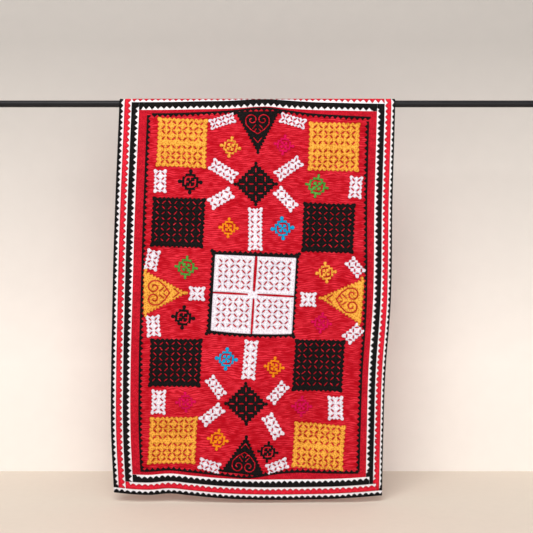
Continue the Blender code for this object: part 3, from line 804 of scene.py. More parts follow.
def band_along_end(side, inner, outer, step, finish, node, slot):
    """Level band between two distances from the hem, or from the cloth's end behind the rod."""
    lines = (lambda across: level_line(side, across, *outer),
             lambda across: level_line(side, across, *inner))
    top, bottom = lines if side == "top" else lines[::-1]
    size = (CLOTH_WIDTH, 0.10)
    inset = max(outer[0], 0.0)
    panel(f"quilted_{node}", finish, size,
          four_sided(*size, lambda drop: side_line("left", drop, inset),
                     lambda drop: side_line("right", drop, inset), top, bottom), step,
          band_height, ground_back, [node], slot, band_puff)


white, red = COTTONS["white_ground"], COTTONS["red_band"]
for side in ("left", "right"):
    band_along_side(side, (BORDER_WIDTH, 1.0), (BORDER_WIDTH, 0.0), BAND_STEP, red,
                    f"wide_red_{side}", "red_cloth")
    band_along_side(side, (BORDER_WIDTH, 0.0), (0.0, 0.0), WHITE_STEP, white,
                    f"ground_{side}", "white_cloth")
for side in ("top", "bottom"):
    band_along_end(side, (BORDER_WIDTH, 1.0), (BORDER_WIDTH, 0.0), BAND_STEP, red,
                   f"wide_red_{side}", "red_cloth")
    outermost = (-TOP_HEM_EXTRA, 0.0) if side == "top" else (0.0, 0.0)
    band_along_end(side, (BORDER_WIDTH, 0.0), outermost, WHITE_STEP, white,
                   f"ground_{side}", "white_cloth")

# %% [markdown]
# Cut shapes. Toothed strips and cut-work have too many corners to list. Each is a rule instead:
# for any point of the flat cloth it gives the distance to the nearest cut edge, below zero
# inside the cloth. A knob is a circle, a slit is a short round-ended line that is taken away, and
# a toothed edge is a straight one with a wave on it. Two shapes join by the smaller distance.

# %% Distances to discs, slits and toothed edges
def disc(points, centre, radius):
    return np.hypot(*(points - centre).T) - radius


def slit(points, start, end, width, taper=0.25):
    """Distance to a slit from start to end, narrower at its ends."""
    start, way = np.asarray(start, float), np.subtract(end, start)
    along = np.clip((points - start) @ way / (way @ way), 0.0, 1.0)
    off = points - start - along[:, None] * way
    return np.hypot(*off.T) - width / 2 * (1 - taper * (2 * along - 1) ** 2)


SLIT_REACH = 0.014


def nearest_slit(points, slits):
    """Distance to the nearest of many slits, exact only near one."""
    total = np.full(len(points), SLIT_REACH)
    for start, end, width in slits:
        low, high = np.minimum(start, end) - SLIT_REACH, np.maximum(start, end) + SLIT_REACH
        near = np.flatnonzero(((points > low) & (points < high)).all(axis=1))
        total[near] = np.minimum(total[near], slit(points[near], start, end, width))
    return total


def teeth(along, pitch, depth, power, seed):
    """Height of a toothed edge. power 1 gives points, 2 round scallops, below 1 thin cusps."""
    along = along + 0.06 * pitch * hills(along, 0.3, 2.2 * pitch, seed)
    depth = depth * (1 + 0.16 * hills(along, 0.7, 1.4 * pitch, seed + 1))
    share = np.abs(2 * (along / pitch % 1.0) - 1)
    return depth * (1 - share ** power)


# %% [markdown]
# The outline of a rule is found by walking a fine lattice of triangles. Where the distance
# changes sign between two corners, the edge runs between them, and the crossings join up into
# closed loops. A loop has far more points than it needs, so points that lie on a nearly straight
# stretch are dropped.

# %% Find the outline of a rule
def outline_loops(shape, low, high, cell):
    """Closed loops where the distance is zero."""
    axes = [np.arange(low[n], high[n] + cell, cell) for n in (0, 1)]
    lattice = np.stack(np.meshgrid(*axes, indexing="ij"), -1)
    rows = len(axes[1])
    corners = lattice.reshape(-1, 2)
    distance = shape(corners)
    index = np.arange(len(corners)).reshape(len(axes[0]), rows)
    here, right = index[:-1, :-1].ravel(), index[1:, :-1].ravel()
    below, across = index[:-1, 1:].ravel(), index[1:, 1:].ravel()
    inside = distance < 0
    segments = []
    for triangle in ((here, right, across), (here, below, across)):
        ends = [(triangle[0], triangle[1]), (triangle[1], triangle[2]),
                (triangle[0], triangle[2])]
        keys = np.stack([start * len(corners) + end for start, end in ends], -1)
        crossed = np.stack([inside[start] != inside[end] for start, end in ends], -1)
        mixed = crossed.any(axis=1)
        segments.append(keys[mixed][crossed[mixed]].reshape(-1, 2))
    segments = np.concatenate(segments)
    keys, numbers = np.unique(segments, return_inverse=True)
    start, end = np.divmod(keys, len(corners))
    share = (distance[start] / (distance[start] - distance[end]))[:, None]
    spots = corners[start] + share * (corners[end] - corners[start])
    beside = [[] for _ in keys]
    for one, two in numbers.reshape(-1, 2).tolist():
        beside[one].append(two)
        beside[two].append(one)
    loops, left = [], set(range(len(keys)))
    while left:
        first = min(left)
        loop, previous, spot = [first], None, first
        left.discard(first)
        while True:
            onward = [n for n in beside[spot] if n != previous]
            previous, spot = spot, onward[0]
            if spot == first:
                break
            loop.append(spot)
            left.discard(spot)
        loops.append(spots[loop])
    return loops


def thin_out(loop, slack, longest):
    """Drop the points that a straight line would miss by less than the slack."""
    far = int(np.argmax(np.hypot(*(loop - loop[0]).T)))
    ring = np.vstack([loop, loop[:1]])
    keep, spans = {0, far}, [(0, far), (far, len(loop))]
    while spans:
        a, b = spans.pop()
        if b - a < 2:
            continue
        chord = ring[b] - ring[a]
        reach = np.hypot(*chord) + 1e-12
        off = ring[a + 1:b] - ring[a]
        miss = np.abs(off[:, 0] * chord[1] - off[:, 1] * chord[0]) / reach
        worst = int(np.argmax(miss))
        if miss[worst] > slack:
            split = a + 1 + worst
        elif reach > longest:
            split = (a + b) // 2
        else:
            continue
        keep.add(split)
        spans += [(a, split), (split, b)]
    return loop[sorted(keep)]


# %% [markdown]
# A cut piece puts this together: outline, one ring of points just inside it so that the edge can
# roll down to the cloth below, and a loose triangle lattice in between. Where the needle tucks
# the edge under, the cloth is low, and away from it the cloth rises. That gives each leaf slit
# its soft rim.

# %% Cut pieces
RIM_RING = 0.0012


def outward_of(shape, points):
    """Unit direction in which the distance grows."""
    step = 0.0002
    slope = np.stack([shape(points + (step, 0.0)) - shape(points - (step, 0.0)),
                      shape(points + (0.0, step)) - shape(points - (0.0, step))], -1)
    return slope / (np.hypot(*slope.T)[:, None] + 1e-12)


def triangle_lattice(low, high, step):
    columns = np.arange(low[0], high[0], step)
    rows = np.arange(low[1], high[1], step * 0.866)
    spots = np.stack(np.meshgrid(columns, rows, indexing="ij"), -1)
    spots[:, 1::2, 0] += step / 2
    return spots.reshape(-1, 2)


def cut_piece(name, finish, shape, low, high, place, nodes, slot, cell=0.0014, step=0.0045,
              base=PATCH_BACK, lip=PATCH_LOW, rise=PATCH_RISE, soft=0.0035, sunk=None):
    """Piece of cloth cut by a rule, closed all round, and puffed between its cuts."""
    low, high = np.asarray(low, float), np.asarray(high, float)
    loops = [thin_out(loop, 0.00012, 0.006)
             for loop in outline_loops(shape, low - 3 * cell, high + 3 * cell, cell)]
    loops = [loop for loop in loops if len(loop) > 4]
    rim = np.concatenate(loops)
    ring = rim - outward_of(shape, rim) * RIM_RING
    ring = ring[np.abs(shape(ring) + RIM_RING) < 0.0004]
    fill = triangle_lattice(low, high, step)
    fill = fill[shape(fill) < -(RIM_RING + 0.4 * step)]
    coarse = triangle_lattice(low, high, 0.017)
    coarse = coarse[shape(coarse) < -0.004]

    def front(flat, x, w):
        depth = np.maximum(-shape(flat), 0.0)
        depth[:len(rim)] = 0.0
        pucker = 0.00035 * hills(x, w, 0.007, 21) * np.minimum(depth / 0.002, 1.0)
        return lip + rise * (1 - np.exp(-depth / soft)) + pucker

    def back(flat, x, w):
        return np.full(len(x), base) if sunk is None else sunk(flat)

    piece, heights, _ = sew_piece(name, finish, loops, np.concatenate([ring, fill]), coarse,
                                  lambda spots: shape(spots) < 0, place, front, back,
                                  lambda spots: outward_of(shape, spots))
    # The relief sets the cotton's painted shade, darker where the edge rolls down to the cloth
    # below.
    relief = np.concatenate([(heights["front"] - lip) / rise, np.ones(len(heights["back"]))])
    add_relief(piece, relief)
    finish_piece(piece, nodes, slot)
    return piece


# %% [markdown]
# The border. Three strips run round the quilt: black at the hem, red, and black again, each with
# teeth that point inwards over the white ground. They are joined like the logs of a cabin. The
# uprights win three corners. At the lower right they run into the level strips with their solid
# part. A strip that loses a corner ends in a plain block with a slanted side.

# %% Toothed strips
Strip = namedtuple("Strip", "node cloth inset shown solid depth level_depth power level_power "
                            "block")
STRIPS = (
    Strip("hem_strip", "black_cloth", 0.0000, 0.0245, 0.0082, 0.0122, 0.0100, 1.0, 1.6, 0.020),
    Strip("red_strip", "red_cloth", 0.0245, 0.0335, 0.0180, 0.0122, 0.0090, 1.35, 1.6, 0.026),
    Strip("black_strip", "black_cloth", 0.0580, 0.0355, 0.0185, 0.0142, 0.0100, 1.0, 1.6, 0.028),
)
BAND_COTTON = {"black_cloth": COTTONS["black_cloth"], "red_cloth": COTTONS["red_band"]}
TOOTH_PITCH = 0.0268
BLOCK_SLANT = 0.6
SEW_GAP = 0.0003
STRIP_CELL = 0.0014


def along_side(side, red=0.0):
    """Place function of an upright strip: along the cloth, and inwards from the side edge."""
    def place(points):
        w, inset = points.T
        return side_line(side, w - QUARTER_WRAP, inset, red), w
    return place


def along_end(side, red=0.0):
    """Place function of a level strip: across the quilt, and inwards from the hem or top."""
    def place(points):
        across = points[:, 0] / CLOTH_WIDTH
        w = level_line(side, across, points[:, 1], red)
        drop = w - QUARTER_WRAP
        return left_edge(drop) + across * (right_edge(drop) - left_edge(drop)), w
    return place


def toothed_band(inset, solid, shown, depth, power, pitch, start, end, blocks, seed):
    """Rule of a strip between two ends, which may change across it, with teeth on its inner
    side. blocks are lengths of plain cloth at the two ends."""
    def shape(points):
        s, t = points.T
        first, last = start(t), end(t)
        cut = (t - inset - solid - teeth(s, pitch, depth, power, seed)) * 0.8
        slant = BLOCK_SLANT * np.maximum(t - inset - solid, 0.0)
        for block, away in zip(blocks, (s - first, last - s)):
            if block:
                cut = np.minimum(cut, np.maximum(away + slant - block, t - inset - shown))
        return np.maximum.reduce([first + SEW_GAP - s, s - last + SEW_GAP,
                                  inset + SEW_GAP / 2 - t, cut, t - inset - shown + SEW_GAP])
    return shape


def side_across(side, t):
    return t / CLOTH_WIDTH if side == "left" else 1 - t / CLOTH_WIDTH


def upright_end(end, side, inset, red=0.0):
    """Where an upright stops, at a distance from the hem or from the top."""
    return lambda t: level_line(end, side_across(side, t), inset, red)


def fixed(value):
    return lambda t: np.full_like(t, value)


def make_uprights(n, strip, insets):
    for side in ("left", "right"):
        keeps_foot = side == "left" and n > 0
        foot = insets[n] if keeps_foot else insets[n + 1]
        start = upright_end("top", side, insets[max(n, 1)])
        blocks = (0.030 if n == 2 else 0.0, 0.0 if keeps_foot else strip.block)
        shape = toothed_band(strip.inset, strip.solid, strip.shown, strip.depth, strip.power,
                             TOOTH_PITCH, start, upright_end("bottom", side, foot), blocks,
                             31 + 4 * n + (side == "right"))
        if side == "right" and n > 0:
            column = toothed_band(strip.inset, strip.solid, strip.solid, 0.0, 1.0, TOOTH_PITCH,
                                  start, upright_end("bottom", side, insets[n]), (0, 0), 0)
            shape = joined(shape, column)
        cut_piece(f"toothed_{strip.node}_{side}", BAND_COTTON[strip.cloth], shape,
                  (-0.02, strip.inset), (1.87, strip.inset + strip.shown), along_side(side),
                  [f"{strip.node}_{side}"], strip.cloth, STRIP_CELL)


def make_levels(n, strip, insets):
    for side in ("top", "bottom"):
        start, end = 0.0, CLOTH_WIDTH
        drop = 0.0 if side == "top" else FRONT_LENGTH
        if n:
            start = level_share("left", insets[n + 1], drop)
            end = CLOTH_WIDTH - level_share("right", insets[n + 1], drop)
        solid, depth, power, blocks = strip.solid, strip.depth, strip.power, (0.0, 0.0)
        if side == "bottom":
            depth, power = strip.level_depth, strip.level_power
            if n:
                end = CLOTH_WIDTH - level_share("right", insets[n] + strip.solid, drop)
                blocks = (strip.block, 0.0)
        elif n == 1:
            solid, depth = 0.0125, 0.0165
        elif n == 2:
            blocks = (0.020, strip.block)
        shape = toothed_band(strip.inset, solid, strip.shown, depth, power, TOOTH_PITCH * 1.03,
                             fixed(start), fixed(end), blocks, 51 + 4 * n + (side == "top"))
        low = strip.inset
        if side == "top" and not n:
            shape, low = hem_behind(shape), -TOP_HEM_EXTRA
        cut_piece(f"toothed_{strip.node}_{side}", BAND_COTTON[strip.cloth], shape, (start, low),
                  (end, strip.inset + strip.shown), along_end(side), [f"{strip.node}_{side}"],
                  strip.cloth, STRIP_CELL)


def level_share(side, inset, drop):
    """How far along a level strip an upright's line is from the edge, at a drop."""
    drop = np.array([drop])
    edge = left_edge(drop) if side == "left" else right_edge(drop)
    gap = np.abs(edge - side_line(side, drop, inset))
    return float((CLOTH_WIDTH * gap / (right_edge(drop) - left_edge(drop)))[0])


def joined(*shapes):
    return lambda points: np.minimum.reduce([shape(points) for shape in shapes])


def hem_behind(shape):
    """The top hem is wider than the others, so that it hangs behind the rod."""
    def wider(points):
        s, t = points.T
        flap = np.maximum.reduce([-s + SEW_GAP, s - CLOTH_WIDTH + SEW_GAP,
                                  -TOP_HEM_EXTRA + SEW_GAP - t, t - 0.004])
        return np.minimum(shape(points), flap)
    return wider


strip_insets = [strip.inset for strip in STRIPS] + [BORDER_WIDTH]
for n, strip in enumerate(STRIPS):
    make_uprights(n, strip, strip_insets)
    make_levels(n, strip, strip_insets)

# %% [markdown]
# A narrow black frame surrounds the red field. Round bites of red run into it from inside, so
# its teeth are thin cusps. It is open at both upper corners, as on the quilt itself.

# %% The black frame
FRAME_SOLID, FRAME_DEPTH, FRAME_PITCH = 0.0068, 0.0130, 0.0254
FRAME_REACH = FRAME_SOLID + FRAME_DEPTH + 0.002


def make_frame():
    foot = {side: upright_end("bottom", side, BORDER_WIDTH + FRAME_SOLID, 1.0)
            for side in ("left", "right")}
    head = {"left": 0.085, "right": 0.115}
    level = {"top": (0.153, 1.168), "bottom": (0.1335, 1.1640)}
    for seed, side in enumerate(("left", "right")):
        shape = toothed_band(BORDER_WIDTH, FRAME_SOLID, FRAME_REACH, FRAME_DEPTH, 0.80,
                             FRAME_PITCH, fixed(head[side]), foot[side], (0, 0), 71 + 2 * seed)
        cut_piece(f"toothed_frame_{side}", COTTONS["black_cloth"], shape,
                  (head[side], BORDER_WIDTH), (1.80, BORDER_WIDTH + FRAME_REACH),
                  along_side(side, 1.0), [f"frame_{side}"], "black_cloth", 0.0013)
    for seed, side in enumerate(("top", "bottom")):
        start, end = level[side]
        shape = toothed_band(BORDER_WIDTH, FRAME_SOLID, FRAME_REACH, FRAME_DEPTH, 0.75,
                             FRAME_PITCH, fixed(start), fixed(end), (0, 0), 81 + 2 * seed)
        cut_piece(f"toothed_frame_{side}", COTTONS["black_cloth"], shape,
                  (start, BORDER_WIDTH), (end, BORDER_WIDTH + FRAME_REACH),
                  along_end(side, 1.0), [f"frame_{side}"], "black_cloth", 0.0013)


make_frame()

# %% [markdown]
# The large patches are folded and cut like paper snowflakes, so their slits stand in a checker:
# each leans the other way from its neighbours. The edges are small scallops, and each corner
# has a round knob. A chart of columns, rows and the first lean describes the whole cut-work.

# %% Scalloped patches
Square = namedtuple("Square", "node cloth x drop width height turn lean")
SQUARES = (
    Square("square_yellow_top_left", "yellow_cloth", 0.903, 0.187, 0.235, 0.230, 2.5, 2.5),
    Square("square_yellow_top_right", "yellow_cloth", 1.617, 0.205, 0.239, 0.227, 1.5, 1.5),
    Square("square_yellow_bottom_left", "yellow_cloth", 0.859, 1.585, 0.225, 0.220, -1.0, 3.5),
    Square("square_yellow_bottom_right", "yellow_cloth", 1.545, 1.613, 0.240, 0.212, 4.3, 3.9),
    Square("square_black_upper_left", "black_cloth", 0.884, 0.561, 0.250, 0.234, 1.7, 3.2),
    Square("square_black_upper_right", "black_cloth", 1.591, 0.586, 0.246, 0.234, 1.8, 2.6),
    Square("square_black_lower_left", "black_cloth", 0.872, 1.220, 0.246, 0.226, 0.3, 2.7),
    Square("square_black_lower_right", "black_cloth", 1.545, 1.234, 0.238, 0.244, 1.7, 3.9),
)
DIAMONDS = (
    Square("diamond_upper", "black_cloth", 1.250, 0.381, 0.150, 0.151, 45.0, 45.0),
    Square("diamond_lower", "black_cloth", 1.204, 1.411, 0.150, 0.146, 45.0, 45.0),
)
CENTRE_BLACK = Square("centre_black", "black_cloth", 1.236, 0.896, 0.400, 0.384, 2.1, 3.8)
CENTRE_WHITE = Square("centre_white", "white_cloth", 1.239, 0.898, 0.381, 0.357, 2.5, 3.3)


def on_square(square):
    """Place function of a patch: sideways and downwards from its middle."""
    turn, lean = math.radians(square.turn), math.radians(square.lean)
    sideways = np.array((math.cos(turn), math.sin(turn)))
    downwards = np.array((-math.sin(lean), math.cos(lean)))

    def place(points):
        x, w = (points[:, :1] * sideways + points[:, 1:] * downwards).T
        return square.x + x, square.drop + QUARTER_WRAP + w
    return place


def scalloped_box(width, height, pitch, depth, power, knob, knob_out, seed, clip=None):
    """Rule of a box with toothed sides and a knob at each corner, moved out from it sideways and
    downwards. clip cuts the corners off at a distance along the diagonal."""
    def side_teeth(along, length, side):
        count = max(1, round(length / pitch))
        return (teeth(along + length / 2, length / count, depth, power, seed + 2 * side)
                - depth / 2)

    corner = np.array((width, height)) / 2
    tip = corner + knob_out

    def shape(points):
        u, v = points.T
        right_left = np.where(u > 0, side_teeth(v, height, 0), side_teeth(v, height, 1))
        up_down = np.where(v > 0, side_teeth(u, width, 2), side_teeth(u, width, 3))
        body = np.maximum((np.abs(u) - width / 2 - right_left) * 0.85,
                          (np.abs(v) - height / 2 - up_down) * 0.85)
        folded = np.abs(points)
        if clip:
            body = np.maximum(body, folded.sum(axis=1) / math.sqrt(2) - clip)
        body = np.minimum(body, disc(folded, tip, knob))
        return np.minimum(body, slit(folded, tip - 0.012, tip, 1.1 * knob, 0.0))
    return shape


def slit_checker(columns, rows, length, width, first, seed):
    """Slits on a chart of columns and rows, leaning turn and turn about."""
    random = np.random.default_rng(seed)
    slits = []
    for i, u in enumerate(columns):
        for j, v in enumerate(rows):
            lean = 1 if (i + j) % 2 == first else -1
            angle = math.radians(45 * lean + random.uniform(-6, 6))
            half = 0.5 * (length - width) * random.uniform(0.82, 1.1)
            middle = np.array((u, v)) + random.uniform(-0.0008, 0.0008, 2)
            way = half * np.array((math.cos(angle), math.sin(angle)))
            slits.append((middle - way, middle + way, width))
    return slits


def with_slits(body, slits):
    def shape(points):
        return np.maximum(body(points), -nearest_slit(points, slits))
    return shape


def even(count, span, middle=0.0):
    return [middle + span * (n / (count - 1) - 0.5) for n in range(count)]


YELLOW_ROWS = (-0.093, -0.068, -0.047, -0.018, 0.021, 0.050, 0.071, 0.093)


def make_squares():
    for n, square in enumerate(SQUARES):
        yellow = square.cloth == "yellow_cloth"
        depth, power, knob = (0.0075, 1.4, 0.0082) if yellow else (0.0075, 1.1, 0.0075)
        width, height = square.width - 0.006, square.height - 0.005
        body = scalloped_box(width, height, 0.0212, depth, power, knob, (-0.003, -0.003),
                             101 + 9 * n)
        if yellow:
            columns = even(8, square.width * 0.76)
            rows = [row * square.height / 0.230 for row in YELLOW_ROWS]
        else:
            columns = even(8, square.width * 0.80)
            rows = even(8, square.height * 0.76, -0.005)
        length, slit_width = (0.0225, 0.0076) if yellow else (0.0225, 0.0054)
        slits = slit_checker(columns, rows, length, slit_width, n % 2, 201 + n)
        half = np.array((square.width, square.height)) / 2 + 0.016
        cut_piece(f"cut_{square.node}", COTTONS[square.cloth], with_slits(body, slits), -half,
                  half, on_square(square), [square.node], square.cloth)


make_squares()

# %% [markdown]
# The two black diamonds stand on a corner. Their slits are straight and long, and lie on a
# lattice of level and upright lines, so in the patch's own turned measures they are diagonal.

# %% Diamonds
def turned(u, v):
    """A place on the hanging quilt in the measures of a patch that stands on its corner."""
    return ((u + v) / math.sqrt(2), (v - u) / math.sqrt(2))


LATTICE = 0.0437
DIAMOND_SLIT, DIAMOND_SLIT_WIDTH = 0.0255, 0.0068


def diamond_slits():
    middles = [(line * LATTICE, (n - 1.5) * LATTICE) for line in (-1, 0, 1) for n in range(4)
               if line == 0 or n in (1, 2)]
    reach = 0.5 * (DIAMOND_SLIT - DIAMOND_SLIT_WIDTH)
    slits = []
    for line, along in middles:
        slits.append((turned(line, along - reach), turned(line, along + reach),
                      DIAMOND_SLIT_WIDTH))
        slits.append((turned(along - reach, line), turned(along + reach, line),
                      DIAMOND_SLIT_WIDTH))
    return slits


for n, diamond in enumerate(DIAMONDS):
    body = scalloped_box(diamond.width - 0.012, diamond.height - 0.012, 0.0186, 0.0100, 1.0,
                         0.0080, (-0.001, -0.001), 171 + 9 * n, clip=0.0870)
    half = np.array((diamond.width, diamond.height)) / 2 + 0.024
    cut_piece(f"cut_{diamond.node}", COTTONS["black_cloth"], with_slits(body, diamond_slits()),
              -half, half, on_square(diamond), [diamond.node], "black_cloth")

# %% [markdown]
# The centre is a white patch with a long slit cross and four checkers of six by six, and round
# it shows a thin black edge with outward teeth. Only that edge is left of the black cloth: where
# the white is cut, the red of the field shows.

# %% Centre
WHITE_BOW = 0.008


def bowed_box(width, height, bow):
    """Box whose lower side sags, with slightly rounded corners."""
    def shape(points):
        u, v = points.T
        sag = np.where(v > 0, bow * (1 - (2 * u / width) ** 2), 0.0)
        outside = np.stack([np.abs(u) - width / 2 + 0.004, np.abs(v) - height / 2 - sag + 0.004])
        return (np.hypot(*np.maximum(outside, 0.0)) + np.minimum(outside.max(axis=0), 0.0)
                - 0.004)
    return shape


def sagging(shape, width, bow):
    """The same rule with its lower half bowed downwards."""
    def lower(points):
        u, v = points.T
        sag = np.where(v > 0, bow * (1 - np.minimum(2 * np.abs(u) / width, 1.0) ** 2), 0.0)
        return shape(np.stack([u, v - sag], -1))
    return lower


def make_centre():
    black, white_patch = CENTRE_BLACK, CENTRE_WHITE
    width, height = white_patch.width, white_patch.height
    outer = sagging(scalloped_box(black.width + 0.008, black.height + 0.004, 0.0240, 0.0100, 1.0,
                                  0.0085, (0.001, 0.001), 191), black.width, WHITE_BOW)
    hole = bowed_box(width - 0.026, height - 0.026, WHITE_BOW)
    body = bowed_box(width, height, WHITE_BOW)
    cross = [((0.003, -height / 2 - 0.01), (0.001, -0.018), 0.0140),
             ((0.002, 0.024), (0.001, height / 2 + 0.02), 0.0110),
             ((-width / 2 - 0.01, 0.000), (-0.030, 0.002), 0.0105),
             ((0.022, 0.001), (width / 2 + 0.01, 0.003), 0.0105)]
    cross = [(np.array(start), np.array(end), wide) for start, end, wide in cross]

    def edging(points):
        inner = points - (0.003, 0.002)
        under_white = np.maximum(body(inner), nearest_slit(inner, cross))
        return np.maximum(outer(points), -np.minimum(hole(inner), under_white))

    half = np.array((black.width, black.height)) / 2 + 0.022
    cut_piece("cut_centre_black", COTTONS["black_cloth"], edging, -half, half, on_square(black),
              ["centre_black"], "black_cloth")
    slits = list(cross)
    for n, (u, v) in enumerate(((-1, -1), (1, -1), (-1, 1), (1, 1))):
        slits += slit_checker(even(6, 0.136, 0.0935 * u), even(6, 0.122, 0.0905 * v),
                              0.0230, 0.0070, 0, 301 + n)

    def sunk(points):
        """The white lies on the black edging, and on the field inside it."""
        inside = np.maximum(-body(points) - 0.014, 0.0)
        return UPPER_BACK + (PATCH_BACK - UPPER_BACK) * ease(inside / 0.010)

    half = np.array((width, height)) / 2 + 0.012
    cut_piece("cut_centre_white", COTTONS["white_cloth"], with_slits(body, slits), -half, half,
              on_square(white_patch), ["centre_white"], "white_cloth", step=0.0050,
              lip=UPPER_LOW, sunk=sunk)


make_centre()

# %% [markdown]
# Four triangles point to the centre. Each carries a heart whose two sides end in spirals, with
# short sprigs inside and a small chevron near the point. A curved slit is a chain of short ones.

# %% Heart and spirals
Triangle = namedtuple("Triangle", "node cloth base_x base_drop base point_x point_drop heart lift")
TRIANGLES = (
    Triangle("triangle_black_top", "black_cloth", 1.257, 0.0395, 0.211, 1.260, 0.2365,
             (0.985, 0.944), -0.0027),
    Triangle("triangle_black_bottom", "black_cloth", 1.188, 1.740, 0.208, 1.206, 1.563,
             (0.947, 0.940), -0.0055),
    Triangle("triangle_yellow_left", "yellow_cloth", 0.725, 0.892, 0.211, 0.927, 0.892,
             (1.019, 1.041), 0.0),
    Triangle("triangle_yellow_right", "yellow_cloth", 1.747, 0.932, 0.214, 1.550, 0.916,
             (1.034, 1.019), 0.0),
)
SPIRAL_PLACE = (0.0268, 0.0446)
SPIRAL_OUTER, SPIRAL_INNER = 0.0295, 0.0062
HEART_POINT = 0.1150
LINE_WIDTH = 0.0054


def heart_lines():
    """Chains of points for one half of the heart, its spiral and its sprigs."""
    turns = np.linspace(0.0, 1.2, 27)
    radius = SPIRAL_OUTER + (SPIRAL_INNER - SPIRAL_OUTER) * turns / turns[-1]
    angle = math.tau * turns
    spiral = np.stack([SPIRAL_PLACE[0] + radius * np.cos(angle),
                       SPIRAL_PLACE[1] - radius * np.sin(angle)], -1)
    side = np.array([(0.0, HEART_POINT), (0.032, 0.0935), (0.0545, 0.0670)])
    heart = np.concatenate([side, spiral])
    upper_sprig = np.array([(0.0235, 0.0880), (0.0090, 0.0700)])
    lower_sprig = np.array([(0.0150, 0.1010), (0.0062, 0.0905)])
    chevron = np.array([(0.0190, 0.1350), (0.0, 0.1580)])
    return heart, upper_sprig, lower_sprig, chevron


def nearest_chain(points, chain, width):
    total = np.full(len(points), SLIT_REACH)
    for start, end in zip(chain[:-1], chain[1:]):
        total = np.minimum(total, slit(points, start, end, width, 0.0))
    return total


def toothed_triangle(base, height, knob, base_depth, seed):
    """Rule of a triangle on its base, with toothed sides, and knobs at its three corners."""
    side = math.hypot(base / 2, height)
    lean = (height / side, base / 2 / side)

    def shape(points):
        folded, v = np.abs(points[:, 0]), points[:, 1]
        along = v * lean[0] + (base / 2 - folded) * lean[1]
        wave = teeth(along, 0.0172, 0.0085, 1.1, seed) - 0.0055
        slanted = ((folded - base / 2) * lean[0] + v * lean[1] - wave) * 0.85
        scallops = teeth(points[:, 0], 0.0262, base_depth, 1.8, seed + 2)
        body = np.maximum(slanted, (-v - scallops) * 0.85)
        spots = np.stack([folded, v], -1)
        body = np.minimum(body, disc(spots, (base / 2 + 0.002, knob), knob))
        body = np.minimum(body, disc(spots, (0.0, height - 0.003), knob))
        return np.minimum(body, disc(spots, (0.0, height - 0.017), knob * 0.95))
    return shape


def on_triangle(triangle):
    """Place function of a triangle: across its height, and from the base to the point."""
    base = np.array((triangle.base_x, triangle.base_drop + QUARTER_WRAP))
    rise = np.array((triangle.point_x, triangle.point_drop + QUARTER_WRAP)) - base
    height = math.hypot(*rise)
    upwards = rise / height
    sideways = np.array((-upwards[1], upwards[0]))

    def place(points):
        return (base + points[:, :1] * sideways + points[:, 1:] * upwards).T
    return place, height


def make_triangles():
    for n, triangle in enumerate(TRIANGLES):
        place, height = on_triangle(triangle)
        base = triangle.base
        base_depth = 0.0060 if triangle.cloth == "yellow_cloth" else 0.0
        body = toothed_triangle(base, height, 0.0075, base_depth, 401 + 5 * n)
        heart, *short = heart_lines()

        def shape(points, body=body, scale=triangle.heart, lift=triangle.lift):
            folded = np.stack([np.abs(points[:, 0]), points[:, 1] - lift], -1) / scale
            lines = nearest_chain(folded, heart, LINE_WIDTH)
            for line in short:
                lines = np.minimum(lines, nearest_chain(folded, line, LINE_WIDTH * 0.9))
            return np.maximum(body(points), -lines)

        cut_piece(f"cut_{triangle.node}", COTTONS[triangle.cloth], shape,
                  (-base / 2 - 0.016, -0.009), (base / 2 + 0.016, height + 0.010), place,
                  [triangle.node], triangle.cloth, cell=0.0012)


make_triangles()

# %% [markdown]
# Small white patches stand round the stars, each with a knob at every corner and two rows of
# slits. Their places were read from the picture, in pixels from its upper left corner, with the
# length and width between the knobs and the turn of the long side.

# %% White patches
PICTURE_X0, PICTURE_DROP0 = 0.0475, -0.4848
WhitePatch = namedtuple("WhitePatch", "picture_x picture_y length width turn columns first")
WHITE_PATCHES = (
    WhitePatch(222.3, 121.2, 0.121, 0.048, -17, 6, 0),
    WhitePatch(223.4, 171.0, 0.135, 0.058, 32, 6, 0),
    WhitePatch(160.2, 181.2, 0.108, 0.058, 91, 4, 1),
    WhitePatch(220.9, 198.5, 0.119, 0.057, -30, 4, 1),
    WhitePatch(255.3, 229.3, 0.200, 0.066, 90, 8, 0),
    WhitePatch(292.8, 121.0, 0.122, 0.047, 16, 6, 0),
    WhitePatch(288.6, 168.7, 0.137, 0.054, -35, 6, 0),
    WhitePatch(355.7, 187.4, 0.103, 0.059, 95, 4, 0),
    WhitePatch(285.7, 199.3, 0.122, 0.052, 47, 4, 1),
    WhitePatch(152.2, 259.9, 0.097, 0.061, 102, 4, 1),
    WhitePatch(197.0, 293.7, 0.075, 0.064, 2, 2, 0),
    WhitePatch(153.3, 326.1, 0.100, 0.064, 86, 4, 0),
    WhitePatch(249.9, 359.7, 0.184, 0.063, 95, 6, 1),
    WhitePatch(355.3, 267.3, 0.090, 0.054, 50, 4, 1),
    WhitePatch(308.3, 299.6, 0.075, 0.066, 2, 2, 0),
    WhitePatch(353.4, 333.8, 0.095, 0.055, -41, 4, 1),
    WhitePatch(216.0, 386.8, 0.107, 0.050, 54, 4, 1),
    WhitePatch(158.6, 402.0, 0.115, 0.066, 92, 4, 0),
    WhitePatch(212.1, 414.4, 0.120, 0.053, -38, 4, 1),
    WhitePatch(209.6, 465.4, 0.101, 0.052, 16, 4, 1),
    WhitePatch(277.9, 392.5, 0.109, 0.050, -49, 4, 1),
    WhitePatch(335.6, 408.3, 0.111, 0.070, 89, 4, 0),
    WhitePatch(273.0, 425.9, 0.119, 0.057, 60, 4, 1),
    WhitePatch(277.2, 466.1, 0.102, 0.050, -19, 4, 1),
)


